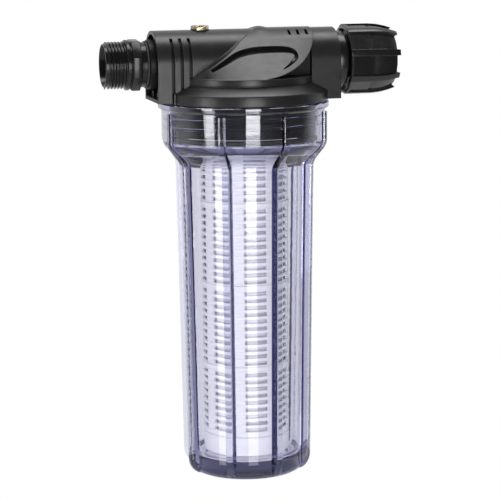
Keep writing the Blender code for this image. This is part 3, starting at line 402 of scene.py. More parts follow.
    @staticmethod
    def trace_node(node: str, name: str, width: float = 0.0, segments: int = 2,
                   angle: float = 32.0) -> bpy.types.Object:
        """Work a copy of a CAD node up into a finished piece: merged, edges rounded, shaded smooth.

        Args:
            node: The CAD node's name.
            name: The new piece's name.
            width: Width of the rounded edges, or 0 for none.
            segments: Steps across a rounded edge.
            angle: Edges sharper than this stay sharp or are rounded.

        Returns:
            The finished copy, which replaces the node.
        """
        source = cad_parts[node]
        piece = bpy.data.objects.new(name, source.data.copy())
        piece.data.materials.clear()
        bpy.context.scene.collection.objects.link(piece)
        Bench.pick(piece)
        bpy.ops.object.mode_set(mode="EDIT")
        bpy.ops.mesh.select_all(action="SELECT")
        bpy.ops.mesh.remove_doubles(threshold=2e-6)
        bpy.ops.mesh.dissolve_limited(angle_limit=math.radians(0.6))
        bpy.ops.object.mode_set(mode="OBJECT")
        if width > 0.0:
            Bench.round_edges(piece, width, segments, angle)
        Bench.smooth(piece, angle)
        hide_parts(node)
        return piece

    @staticmethod
    def finish(piece: bpy.types.Object, body: str, slot: str, material: bpy.types.Material) -> None:
        """Give a piece its material and its body, and report it.

        Args:
            piece: The finished piece.
            body: The body that it rides on.
            slot: Its material slot in the record; not used.
            material: Its finish.
        """
        piece.data.materials.clear()
        piece.data.materials.append(material)
        for polygon in piece.data.polygons:
            polygon.material_index = 0
        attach(piece, body)
        LOG.info("%s: %d faces on %s", piece.name, len(piece.data.polygons), body)


class Graph:
    """A short way to place and link shader nodes."""

    def __init__(self, tree: bpy.types.NodeTree) -> None:
        """Keep the tree that nodes are placed in."""
        self.tree = tree

    def add(self, kind: str, **values: object) -> bpy.types.Node:
        """Place a node and set its properties or inputs.

        Args:
            kind: The node's type name.
            values: Properties by name, or inputs by name with underscores for spaces.

        Returns:
            The new node.
        """
        node = self.tree.nodes.new(kind)
        for key, value in values.items():
            if hasattr(node, key):
                setattr(node, key, value)
            else:
                self.feed(node, key.replace("_", " "), value)
        return node

    def feed(self, node: bpy.types.Node, socket: str, value: object) -> None:
        """Set an input, or link an output socket to it.

        Args:
            node: The node whose input is fed.
            socket: The input's name.
            value: A value, or another node's output.
        """
        if isinstance(value, bpy.types.NodeSocket):
            self.tree.links.new(value, node.inputs[socket])
        else:
            node.inputs[socket].default_value = value

    def math(self, operation: str, first: object, second: object = 0.0) -> bpy.types.NodeSocket:
        """Place a Math node.

        Args:
            operation: What the node works out.
            first: Its first value or source.
            second: Its second value or source.

        Returns:
            The node's output.
        """
        node = self.tree.nodes.new("ShaderNodeMath")
        node.operation = operation
        for index, value in enumerate((first, second)):
            if isinstance(value, bpy.types.NodeSocket):
                self.tree.links.new(value, node.inputs[index])
            else:
                node.inputs[index].default_value = value
        return node.outputs[0]

    def mix(self, share: object, first: object, second: object) -> bpy.types.NodeSocket:
        """Mix two colours.

        Args:
            share: How much of the second colour there is, from 0 to 1.
            first: The first colour or source.
            second: The second colour or source.

        Returns:
            The mixed colour.
        """
        node = self.tree.nodes.new("ShaderNodeMix")
        node.data_type = "RGBA"
        for socket, value in ((node.inputs[0], share), (node.inputs[6], first), (node.inputs[7], second)):
            if isinstance(value, bpy.types.NodeSocket):
                self.tree.links.new(value, socket)
            elif isinstance(value, tuple):
                socket.default_value = (*value, 1.0)
            else:
                socket.default_value = value
        return node.outputs[2]


def surface_group(name: str, inputs: Sequence[Tuple[str, float]],
                  outputs: Sequence[str]) -> Tuple[bpy.types.ShaderNodeTree, Graph, bpy.types.Node,
                                                   bpy.types.Node]:
    """Start a shader node group with named values in and out.

    Args:
        name: The group's name.
        inputs: Names and first values of the float inputs.
        outputs: Names of the float outputs.

    Returns:
        The group, its graph, and its input and output nodes.
    """
    group = bpy.data.node_groups.new(name, "ShaderNodeTree")
    for label, value in inputs:
        socket = group.interface.new_socket(name=label, in_out="INPUT", socket_type="NodeSocketFloat")
        socket.default_value = value
    for label in outputs:
        group.interface.new_socket(name=label, in_out="OUTPUT", socket_type="NodeSocketFloat")
    graph = Graph(group)
    return group, graph, graph.add("NodeGroupInput"), graph.add("NodeGroupOutput")


class Effects:
    """The surface effects that several finishes share, each one node group."""

    def __init__(self) -> None:
        """Build every group once."""
        self.grain = self.build_grain()
        self.handling = self.build_handling()
        self.edges = self.build_edges()

    @staticmethod
    def build_grain() -> bpy.types.ShaderNodeTree:
        """Fine moulded grain: a height and a roughness share from two sizes of noise.

        Returns:
            The node group.
        """
        group, graph, given, out = surface_group(
            "moulded_grain", (("Size", 0.0006), ("Depth", 1.0)), ("Height", "Gloss"))
        place = graph.add("ShaderNodeTexCoord").outputs["Object"]
        scale = graph.math("DIVIDE", 1.0, given.outputs["Size"])
        fine = graph.add("ShaderNodeTexNoise", Vector=place, Scale=scale, Detail=3.0, Roughness=0.6)
        broad = graph.add("ShaderNodeTexNoise", Vector=place, Scale=graph.math("MULTIPLY", scale, 0.12),
                          Detail=2.0)
        graph.tree.links.new(graph.math("MULTIPLY", fine.outputs["Fac"], given.outputs["Depth"]),
                             out.inputs["Height"])
        graph.tree.links.new(broad.outputs["Fac"], out.inputs["Gloss"])
        return group

    @staticmethod
    def build_handling() -> bpy.types.ShaderNodeTree:
        """Faint rubs from handling: a mask of soft patches crossed by fine streaks.

        Returns:
            The node group.
        """
        group, graph, given, out = surface_group(
            "handling_marks", (("Patch", 0.03), ("Streak", 0.5)), ("Mask",))
        place = graph.add("ShaderNodeTexCoord").outputs["Object"]
        scale = graph.math("DIVIDE", 1.0, given.outputs["Patch"])
        patch = graph.add("ShaderNodeTexNoise", Vector=place, Scale=scale, Detail=4.0, Roughness=0.7)
        stretch = graph.add("ShaderNodeMapping", Vector=place)
        stretch.inputs["Scale"].default_value = (90.0, 90.0, 900.0)
        streak = graph.add("ShaderNodeTexNoise", Vector=stretch.outputs["Vector"], Scale=1.0, Detail=2.0)
        soft = graph.math("MULTIPLY", graph.math("SUBTRACT", patch.outputs["Fac"], 0.45), 2.2)
        lines = graph.math("MULTIPLY", streak.outputs["Fac"], given.outputs["Streak"])
        both = graph.math("MULTIPLY", graph.math("MAXIMUM", soft, 0.0), graph.math("ADD", lines, 0.5))
        graph.tree.links.new(graph.math("MINIMUM", both, 1.0), out.inputs["Mask"])
        return group

    @staticmethod
    def build_edges() -> bpy.types.ShaderNodeTree:
        """A mask of the outer edges, where a moulding is worn a little paler.

        Returns:
            The node group.
        """
        group, graph, given, out = surface_group("worn_edges", (("Reach", 0.0008),), ("Mask",))
        rounded = graph.add("ShaderNodeBevel", samples=4, Radius=given.outputs["Reach"])
        true = graph.add("ShaderNodeNewGeometry").outputs["Normal"]
        dot = graph.add("ShaderNodeVectorMath", operation="DOT_PRODUCT")
        graph.tree.links.new(rounded.outputs["Normal"], dot.inputs[0])
        graph.tree.links.new(true, dot.inputs[1])
        bend = graph.math("MULTIPLY", graph.math("SUBTRACT", 1.0, dot.outputs["Value"]), 4.0)
        graph.tree.links.new(graph.math("MINIMUM", bend, 1.0), out.inputs["Mask"])
        return group


def new_material(name: str) -> Tuple[bpy.types.Material, Graph, bpy.types.Node]:
    """Start a material with one Principled shader.

    Args:
        name: The material's name.

    Returns:
        The material, its graph and its shader.
    """
    material = bpy.data.materials.new(name)
    material.use_nodes = True
    return material, Graph(material.node_tree), material.node_tree.nodes["Principled BSDF"]


@dataclass(frozen=True)
class MouldedPlastic:
    """Opaque moulded plastic with grain, faint rubs and slightly paler edges."""

    name: str
    colour: Colour
    worn: Colour
    roughness: float
    grain_size: float = 0.0007
    grain_depth: float = 0.00004
    edge_reach: float = 0.0007
    specular: float = 0.5

    def build(self, effects: Effects) -> bpy.types.Material:
        """Build the material.

        Args:
            effects: The shared surface effects.

        Returns:
            The material.
        """
        material, graph, shader = new_material(self.name)
        shader.inputs["Specular IOR Level"].default_value = self.specular
        grain = graph.add("ShaderNodeGroup", node_tree=effects.grain, Size=self.grain_size)
        rubs = graph.add("ShaderNodeGroup", node_tree=effects.handling)
        edges = graph.add("ShaderNodeGroup", node_tree=effects.edges, Reach=self.edge_reach)
        wear = graph.math("MULTIPLY", edges.outputs["Mask"], 0.6)
        dusty = graph.mix(graph.math("MULTIPLY", rubs.outputs["Mask"], 0.22), self.colour, self.worn)
        graph.feed(shader, "Base Color", graph.mix(wear, dusty, self.worn))
        spread = graph.math("MULTIPLY", graph.math("SUBTRACT", grain.outputs["Gloss"], 0.5), 0.16)
        rough = graph.math("ADD", spread, graph.math("ADD", self.roughness,
                                                     graph.math("MULTIPLY", rubs.outputs["Mask"], 0.06)))
        graph.feed(shader, "Roughness", rough)
        rounded = graph.add("ShaderNodeBevel", samples=4, Radius=self.edge_reach)
        bump = graph.add("ShaderNodeBump", Strength=1.0, Distance=self.grain_depth,
                         Height=grain.outputs["Height"], Normal=rounded.outputs["Normal"])
        graph.feed(shader, "Normal", bump.outputs["Normal"])
        return material


@dataclass(frozen=True)
class ClearPlastic:
    """Clear tinted plastic, darker where light runs a long way inside it."""

    name: str
    surface: Colour
    depth_colour: Colour
    density: float
    roughness: float = 0.015
    ior: float = 1.53
    film: Colour = (0.95, 0.95, 0.96)
    trapped: Colour = (0.46, 0.47, 0.62)
    trapped_turns: float = 1.5

    def build(self, effects: Effects) -> bpy.types.Material:
        """Build the material.

        Lamps shine through it as through a thin tinted film, and light that is trapped in it is let out.

        Args:
            effects: The shared surface effects.

        Returns:
            The material.
        """
        material, graph, shader = new_material(self.name)
        shader.inputs["Transmission Weight"].default_value = 1.0
        shader.inputs["IOR"].default_value = self.ior
        rubs = graph.add("ShaderNodeGroup", node_tree=effects.handling, Patch=0.05, Streak=0.3)
        graph.feed(shader, "Roughness", graph.math(
            "ADD", self.roughness, graph.math("MULTIPLY", rubs.outputs["Mask"], 0.02)))
        graph.feed(shader, "Base Color", graph.mix(
            graph.math("MULTIPLY", rubs.outputs["Mask"], 0.05), self.surface, (0.80, 0.80, 0.84)))
        grain = graph.add("ShaderNodeGroup", node_tree=effects.grain, Size=0.012)
        bump = graph.add("ShaderNodeBump", Strength=0.25, Distance=0.0002, Height=grain.outputs["Height"])
        graph.feed(shader, "Normal", bump.outputs["Normal"])
        film = graph.add("ShaderNodeBsdfTransparent", Color=(*self.film, 1.0))
        path = graph.add("ShaderNodeLightPath")
        share = graph.math("MAXIMUM", path.outputs["Is Shadow Ray"], path.outputs["Is Diffuse Ray"])
        blend = graph.add("ShaderNodeMixShader")
        graph.tree.links.new(share, blend.inputs[0])
        graph.tree.links.new(shader.outputs[0], blend.inputs[1])
        graph.tree.links.new(film.outputs[0], blend.inputs[2])
        let_out = graph.add("ShaderNodeBsdfTransparent", Color=(*self.trapped, 1.0))
        lost = graph.math("GREATER_THAN", path.outputs["Glossy Depth"], self.trapped_turns)
        whole = graph.add("ShaderNodeMixShader")
        graph.tree.links.new(lost, whole.inputs[0])
        graph.tree.links.new(blend.outputs[0], whole.inputs[1])
        graph.tree.links.new(let_out.outputs[0], whole.inputs[2])
        out = material.node_tree.nodes["Material Output"]
        graph.tree.links.new(whole.outputs[0], out.inputs["Surface"])
        absorb = graph.add("ShaderNodeVolumeAbsorption", Color=(*self.depth_colour, 1.0),
                           Density=self.density)
        graph.tree.links.new(absorb.outputs[0], out.inputs["Volume"])
        return material


@dataclass(frozen=True)
class WovenSleeve:
    """A fine woven filter cloth, drawn on the sleeve's own map in threads."""

    name: str
    thread: Colour
    gap: Colour
    across: float = 260.0
    along: float = 300.0

    def build(self) -> bpy.types.Material:
        """Build the material from two crossed waves.

        Returns:
            The material.
        """
        material, graph, shader = new_material(self.name)
        place = graph.add("ShaderNodeUVMap", uv_map="weave").outputs["UV"]
        split = graph.add("ShaderNodeSeparateXYZ", Vector=place)
        warp = graph.math("SINE", graph.math("MULTIPLY", split.outputs["X"], self.across * 2 * math.pi))
        weft = graph.math("SINE", graph.math("MULTIPLY", split.outputs["Y"], self.along * 2 * math.pi))
        cloth = graph.math("MULTIPLY", graph.math("ADD", graph.math("MAXIMUM", warp, weft), 1.0), 0.5)
        graph.feed(shader, "Base Color", graph.mix(cloth, self.gap, self.thread))
        shader.inputs["Roughness"].default_value = 0.7
        bump = graph.add("ShaderNodeBump", Strength=0.6, Distance=0.0002, Height=cloth)
        graph.feed(shader, "Normal", bump.outputs["Normal"])
        return material


@dataclass(frozen=True)
class Rubber:
    """Matte black rubber with a powdery bloom."""

    name: str
    colour: Colour
    bloom: Colour

    def build(self, effects: Effects) -> bpy.types.Material:
        """Build the material.

        Args:
            effects: The shared surface effects.

        Returns:
            The material.
        """
        material, graph, shader = new_material(self.name)
        rubs = graph.add("ShaderNodeGroup", node_tree=effects.handling, Patch=0.01)
        graph.feed(shader, "Base Color", graph.mix(rubs.outputs["Mask"], self.colour, self.bloom))
        grain = graph.add("ShaderNodeGroup", node_tree=effects.grain, Size=0.0005)
        graph.feed(shader, "Roughness", graph.math(
            "ADD", 0.6, graph.math("MULTIPLY", grain.outputs["Gloss"], 0.2)))
        bump = graph.add("ShaderNodeBump", Strength=0.5, Distance=0.00005, Height=grain.outputs["Height"])
        graph.feed(shader, "Normal", bump.outputs["Normal"])
        return material


@dataclass(frozen=True)
class TurnedMetal:
    """Turned metal with fine tool lines, rubbed edges and a little tarnish."""

    name: str
    colour: Colour
    tarnish: Colour
    roughness: float

    def build(self, effects: Effects) -> bpy.types.Material:
        """Build the material.

        Args:
            effects: The shared surface effects.

        Returns:
            The material.
        """
        material, graph, shader = new_material(self.name)
        shader.inputs["Metallic"].default_value = 1.0
        rubs = graph.add("ShaderNodeGroup", node_tree=effects.handling, Patch=0.004, Streak=1.0)
        edges = graph.add("ShaderNodeGroup", node_tree=effects.edges, Reach=0.0004)
        dull = graph.mix(rubs.outputs["Mask"], self.colour, self.tarnish)
        graph.feed(shader, "Base Color", graph.mix(edges.outputs["Mask"], dull, self.colour))
        graph.feed(shader, "Roughness", graph.math(
            "ADD", self.roughness, graph.math("MULTIPLY", rubs.outputs["Mask"], 0.2)))
        grain = graph.add("ShaderNodeGroup", node_tree=effects.grain, Size=0.0003)
        bump = graph.add("ShaderNodeBump", Strength=0.4, Distance=0.00003, Height=grain.outputs["Height"])
        graph.feed(shader, "Normal", bump.outputs["Normal"])
        return material


@dataclass
class Finishes:
    """Every finish of the part, built once."""

    effects: Effects = field(default_factory=Effects)

    def __post_init__(self) -> None:
        """Build the materials."""
        build = self.effects
        self.head = MouldedPlastic("head_satin_black", (0.009, 0.009, 0.0095), (0.034, 0.034, 0.036),
                                   0.32, specular=0.32).build(build)
        # Painted shade: the inner finish is a darker, duller black put on the skirt, grooves, pockets, recess
        # and sockets, where the head lies in shade.
        self.inner = MouldedPlastic("head_painted_shade_black", (0.0040, 0.0040, 0.0042), (0.011, 0.011, 0.011),
                                    0.42, specular=0.14).build(build)
        self.pipe = MouldedPlastic("nipple_gloss_black", (0.0050, 0.0050, 0.0055), (0.020, 0.020, 0.022),
                                   0.20, grain_depth=0.00001, edge_reach=0.0003, specular=0.24).build(build)
        self.nut = MouldedPlastic("nut_gloss_black", (0.006, 0.006, 0.0065), (0.024, 0.024, 0.026),
                                  0.24, grain_depth=0.00002, specular=0.34).build(build)
        self.clear = ClearPlastic("bowl_clear_violet", (0.955, 0.957, 0.987), (0.30, 0.30, 0.53),
                                  54.0).build(build)
        self.white = MouldedPlastic("cartridge_white", (0.84, 0.84, 0.845), (0.90, 0.90, 0.90), 0.36,
                                    grain_depth=0.00002).build(build)
        self.cloth = WovenSleeve("sleeve_weave", (0.78, 0.78, 0.84), (0.30, 0.31, 0.36)).build()
        self.rubber = Rubber("seal_rubber_black", (0.012, 0.012, 0.012), (0.05, 0.05, 0.05)).build(build)
        self.brass = TurnedMetal("bleed_screw_brass", (0.44, 0.39, 0.24), (0.10, 0.085, 0.045),
                                 0.24).build(build)
        self.steel = TurnedMetal("spring_steel", (0.55, 0.55, 0.57), (0.34, 0.33, 0.32), 0.28).build(build)


@dataclass
class ClearBowl:
    """The clear bowl: a turned shell, eight outside ribs and an inner thread, in one closed body."""

    finishes: Finishes
    rib_count: int = 8
    rib_turn: float = math.radians(15.8)
    rib_width: float = 0.0078
    rib_draft: float = 0.66
    segments: int = 144
    rim_z: float = 0.2698
    collar: float = 0.0583
    thread_bore: float = 0.0534
    corner: float = 0.0051
    flat_radius: float = 0.0370
    neck_radius: float = 0.0452
    shoulder_z: float = 0.2240
    shoulder_rise: float = 0.0190
    shoulder_steps: int = 8
    trough_radius: float = 0.0333
    trough_z: float = 0.0174
    rib_root: float = 0.0434
    rib_tip: float = 0.0509
    rib_soft: float = 0.0007
    thread_pitch: float = 0.0060

    def swell(self, step: int) -> Tuple[float, float]:
        """Return how far out and how far up the shoulder is at one of its steps, each from 0 to 1."""
        share = step / self.shoulder_steps
        return (1 - math.cos(math.pi * share)) / 2, share

    def outside(self) -> List[Point2]:
        """Draw the shell's outside from the foot to the rim.

        Returns:
            The points, as radius and height.
        """
        points = [(0.0290, 0.0026), (0.0312, 0.0022), (0.0322, 0.0), (self.flat_radius, 0.0)]
        points += [(self.flat_radius + self.corner * math.sin(a), self.corner * (1 - math.cos(a)))
                   for a in (math.radians(15.0 * k) for k in range(1, 7))]
        points += [(0.0422, 0.0120), (0.0436, 0.1200), (self.neck_radius, self.shoulder_z)]
        for step in range(1, self.shoulder_steps + 1):
            out, up = self.swell(step)
            points.append((self.neck_radius + (self.collar - self.neck_radius) * out,
                           self.shoulder_z + self.shoulder_rise * up))
        points += [(self.collar, 0.2649), (0.0588, 0.2655), (0.0606, 0.2657), (0.0611, 0.2662),
                   (0.0613, 0.2668), (0.0613, 0.2694), (0.0609, self.rim_z)]
        return points

    def inside(self) -> List[Point2]:
        """Draw the shell's inside from the rim down to the cartridge's seat.

        Returns:
            The points, as radius and height.
        """
        points = [(0.0539, self.rim_z), (self.thread_bore, 0.2692), (self.thread_bore, 0.2428),
                  (0.0488, 0.2428), (0.0483, 0.2420), (0.0436, 0.2394), (0.0426, 0.2382), (0.0422, 0.2360),
                  (0.0416, 0.2220), (0.0400, 0.1200), (0.0386, 0.0205),
                  (self.trough_radius + self.corner, self.trough_z)]
        points += [(self.trough_radius + self.corner * math.cos(a), self.trough_z - self.corner * math.sin(a))
                   for a in (math.radians(22.5 * k) for k in range(1, 5))]
        points += [(0.0234, 0.0123), (0.0231, 0.0120), (0.0230, 0.0115), (0.0124, 0.0115),
                   (0.0122, 0.0150), (0.0104, 0.0182), (0.0098, 0.0185)]
        return points

    def shell(self) -> bpy.types.Object:
        """Turn the closed shell."""
        return Bench.turn_profile("bowl_clear", self.outside() + self.inside(), self.segments, solid=True)

    def rib_line(self) -> List[Tuple[float, float, float, float]]:
        """Work out the rib's steps: height, root radius, tip radius and width.

        Returns:
            The steps from the foot up.
        """
        foot_root, foot_rise, foot_reach, foot_steps = 0.0345, 0.0120, 0.0106, 8
        top_root, top_tip, top_z, top_narrowing = 0.0555, 0.0610, 0.2634, 0.15
        steps = [(0.0004, foot_root, 0.0374)]
        for k in range(1, foot_steps + 1):
            height = foot_rise * k / foot_steps
            tip = self.flat_radius + foot_reach * math.sqrt(1 - (1 - k / foot_steps) ** 2)
            steps.append((height, min(0.0403, foot_root + height * 0.9), tip))
        steps += [(0.0700, 0.0410, 0.0485), (0.1400, 0.0419, 0.0495),
                  (self.shoulder_z, self.rib_root, self.rib_tip)]
        for k in range(1, self.shoulder_steps + 1):
            out, up = self.swell(k)
            steps.append((self.shoulder_z + self.shoulder_rise * up,
                          self.rib_root + (top_root - self.rib_root) * out,
                          self.rib_tip + (top_tip - self.rib_tip) * out))
        steps.append((top_z, top_root, top_tip))
        widths = []
        for height, _, _ in steps:
            share = min(1.0, max(0.0, (height - self.shoulder_z) / self.shoulder_rise))
            widths.append(self.rib_width * (1 - top_narrowing * share))
        return [(z, root, tip, width) for (z, root, tip), width in zip(steps, widths)]

    def rib(self, index: int) -> bpy.types.Object:
        """Draw one rib upwards from a rounded section, and turn it to its place.

        Args:
            index: Which rib, counted round the bowl.

        Returns:
            The closed rib.
        """
        line = self.rib_line()
        height, root, tip, width = line[0]
        Bench.clear_selection()
        bpy.ops.mesh.primitive_plane_add(size=1.0, location=((root + tip) / 2, 0.0, height))
        rib = bpy.context.object
        rib.scale = (tip - root, width, 1.0)
        bpy.ops.object.transform_apply(location=True, rotation=True, scale=True)
        bpy.ops.object.mode_set(mode="EDIT")
        Bench.pick_vertices(rib, lambda co: abs(co.x - tip) < 1e-6)
        bpy.ops.transform.resize(value=(1.0, self.rib_draft, 1.0), center_override=(tip, 0.0, height))
        bpy.ops.mesh.bevel(offset=self.rib_soft, segments=3, affect="VERTICES")
        bpy.ops.mesh.select_all(action="SELECT")
        for new_height, new_root, new_tip, new_width in line[1:]:
            bpy.ops.mesh.extrude_region_move(TRANSFORM_OT_translate={
                "value": (new_root - root, 0.0, new_height - height)})
            bpy.ops.transform.resize(value=((new_tip - new_root) / (tip - root), new_width / width, 1.0),
                                     center_override=(new_root, 0.0, new_height))
            height, root, tip, width = new_height, new_root, new_tip, new_width
        bpy.ops.mesh.select_all(action="SELECT")
        bpy.ops.mesh.normals_make_consistent(inside=False)
        bpy.ops.object.mode_set(mode="OBJECT")
        rib.rotation_euler = (0.0, 0.0, math.radians(-90.0) + self.rib_turn
                              + 2 * math.pi * index / self.rib_count)
        bpy.ops.object.transform_apply(location=True, rotation=True, scale=True)
        return rib

    def build(self) -> bpy.types.Object:
        """Build the bowl and give it its clear finish.

        Returns:
            The bowl.
        """
        bowl = self.shell()
        ribs = Bench.join("ribs", [self.rib(index) for index in range(self.rib_count)])
        Bench.merge_solids(bowl, ribs, "UNION")
        ridge = Bench.helix("bowl_thread", self.thread_bore + 0.0008, self.thread_bore - 0.0012,
                            0.2500, 2.3, self.thread_pitch, 0.0026, 0.0012)
        Bench.merge_solids(bowl, ridge, "UNION")
        Bench.smooth(bowl, 28.0)
        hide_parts("bowl")
        Bench.finish(bowl, "bowl_shell", "clear_plastic", self.finishes.clear)
        return bowl


@dataclass
class Cartridge:
    """The washable cartridge: slotted cage, woven sleeve, core tube, caps and gaskets."""

    finishes: Finishes
    radius: float = 0.0313
    bore: float = 0.0140
    wall: float = 0.0020
    pitch: float = 0.0051
    slot_height: float = 0.0026
    sectors: int = 8
    slot_angle: float = math.radians(28.0)
    divider: float = 0.0034
    rows: Tuple[int, ...] = (9, 11, 11, 9)

    def hoop(self, name: str, low: float, high: float, proud: float = 0.0) -> bpy.types.Object:
        """Turn one hoop of the cage, with softened edges.

        Args:
            name: The new hoop's name.
            low: Height of its underside.
            high: Height of its top.
            proud: How far it stands out past the cage.

        Returns:
            The hoop.
        """
        soft = min(0.0004, (high - low) / 5)
        outer = self.radius + proud
        inner = self.radius - self.wall
        return Bench.turn_profile(name, [
            (inner, low), (outer - soft, low), (outer, low + soft), (outer, high - soft),
            (outer - soft, high), (inner, high)], 96)

    def build_cage(self) -> bpy.types.Object:
        """Stack the hoops, and stand the upright bars between them.

        Returns:
            The cage.
        """
        box_low, box_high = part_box("cartridge_cage")
        total = self.pitch * sum(self.rows) + self.divider * (len(self.rows) - 1)
        height = box_low.z + ((box_high.z - box_low.z) - total) / 2
        gap = (self.pitch - self.slot_height) / 2
        parts = []
        edge = box_low.z
        for section, count in enumerate(self.rows):
            if section:
                parts.append(self.hoop("divider", height, height + self.divider, 0.0006))
                height += self.divider
                edge = height
            parts.append(self.hoop("first", edge, height + gap))
            middle = self.hoop("between", height + self.pitch - gap, height + self.pitch + gap)
            stack = middle.modifiers.new("stack", "ARRAY")
            stack.count = count - 1
            stack.use_relative_offset = False
            stack.use_constant_offset = True
            stack.constant_offset_displace = (0.0, 0.0, self.pitch)
            Bench.pick(middle)
            bpy.ops.object.modifier_apply(modifier=stack.name)
            parts.append(middle)
            height += self.pitch * count
            last_top = box_high.z if section == len(self.rows) - 1 else height
            parts.append(self.hoop("last", height - gap, last_top))
        inner, outer = self.radius - self.wall * 0.9, self.radius - 0.00015
        foot, head = box_low.z + 0.0001, box_high.z - 0.0001
        bars = Bench.turn_profile("bars", [(inner, foot), (outer, foot), (outer, head), (inner, head)], 96)
        bpy.ops.object.mode_set(mode="EDIT")
        half = self.slot_angle / 2
        sector = 2 * math.pi / self.sectors
        mesh = bmesh.from_edit_mesh(bars.data)
        bpy.ops.mesh.select_mode(type="FACE")
        for face in mesh.faces:
            middle = face.calc_center_median()
            angle = (math.atan2(middle.x, -middle.y) + sector / 2) % sector - sector / 2
            face.select = abs(angle) < half
        bmesh.update_edit_mesh(bars.data)
        bpy.ops.mesh.delete(type="FACE")
        bpy.ops.mesh.select_all(action="SELECT")
        bpy.ops.mesh.fill_holes(sides=4)
        bpy.ops.mesh.select_all(action="SELECT")
        bpy.ops.mesh.normals_make_consistent(inside=False)
        bpy.ops.object.mode_set(mode="OBJECT")
        cage = Bench.join("cage_slotted", [bars] + parts)
        Bench.smooth(cage, 35.0)
        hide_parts("cartridge_cage")
        Bench.finish(cage, "cartridge", "white_plastic", self.finishes.white)
        return cage

    def build_sleeve(self) -> bpy.types.Object:
        """Turn the woven sleeve and lay its map in turns and length.

        Returns:
            The sleeve.
        """
        low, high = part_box("cartridge_mesh")
        outer = high.x
        sleeve = Bench.turn_profile("sleeve_woven", [
            (outer, low.z), (outer, high.z), (outer - 0.0006, high.z), (outer - 0.0006, low.z)], 96)
        layer = sleeve.data.uv_layers.new(name="weave")
        for polygon in sleeve.data.polygons:
            turn = math.atan2(polygon.center.x, -polygon.center.y) / (2 * math.pi)
            for loop in polygon.loop_indices:
                place = sleeve.data.vertices[sleeve.data.loops[loop].vertex_index].co
                share = math.atan2(place.x, -place.y) / (2 * math.pi)
                share += round(turn - share)
                layer.data[loop].uv = (share, place.z)
        Bench.smooth(sleeve, 40.0)
        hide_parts("cartridge_mesh")
        Bench.finish(sleeve, "cartridge", "mesh_white", self.finishes.cloth)
        return sleeve

    def build_caps(self) -> None:
        """Turn both caps with rounded lips, and the soft gasket rings."""
        for node, name, upside in (("cartridge_bottom_cap", "cap_bottom", 1.0),
                                   ("cartridge_top_cap", "cap_top", -1.0)):
            low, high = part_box(node)
            outside, inside = (low.z, high.z) if upside > 0 else (high.z, low.z)
            floor = outside + (inside - outside) * 0.4
            soft = 0.0004 * upside
            profile = [(self.bore, outside + soft), (self.bore + 0.0004, outside),
                       (self.radius - 0.0012, outside), (self.radius - 0.0004, outside + 2 * soft),
                       (self.radius, outside + 4 * soft), (self.radius, inside - 2 * soft),
                       (self.radius - 0.0005, inside - soft * 0.5), (self.radius - 0.0009, inside),
                       (self.radius - self.wall, inside), (self.radius - self.wall, floor),
                       (self.bore, floor)]
            cap = Bench.turn_profile(name, profile, 96)
            Bench.smooth(cap, 35.0)
            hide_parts(node)
            Bench.finish(cap, "cartridge", "white_plastic", self.finishes.white)
        for node, name in (("cartridge_bottom_gasket", "gasket_bottom"),
                           ("cartridge_top_gasket", "gasket_top")):
            low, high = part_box(node)
            outer = high.x
            gasket = Bench.turn_profile(name, [
                (self.bore, low.z + 0.0003), (self.bore + 0.0003, low.z), (outer - 0.0005, low.z),
                (outer, low.z + 0.0005), (outer, high.z - 0.0005), (outer - 0.0005, high.z),
                (self.bore + 0.0003, high.z), (self.bore, high.z - 0.0003)], 72)
            Bench.smooth(gasket, 50.0)
            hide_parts(node)
            Bench.finish(gasket, "cartridge", "seal_rubber", self.finishes.rubber)

    def build(self) -> None:
        """Build every piece of the cartridge."""
        self.build_cage()
        self.build_sleeve()
        self.build_caps()
        core = Bench.trace_node("cartridge_core", "core_tube", 0.0003)
        Bench.finish(core, "cartridge", "white_plastic", self.finishes.white)


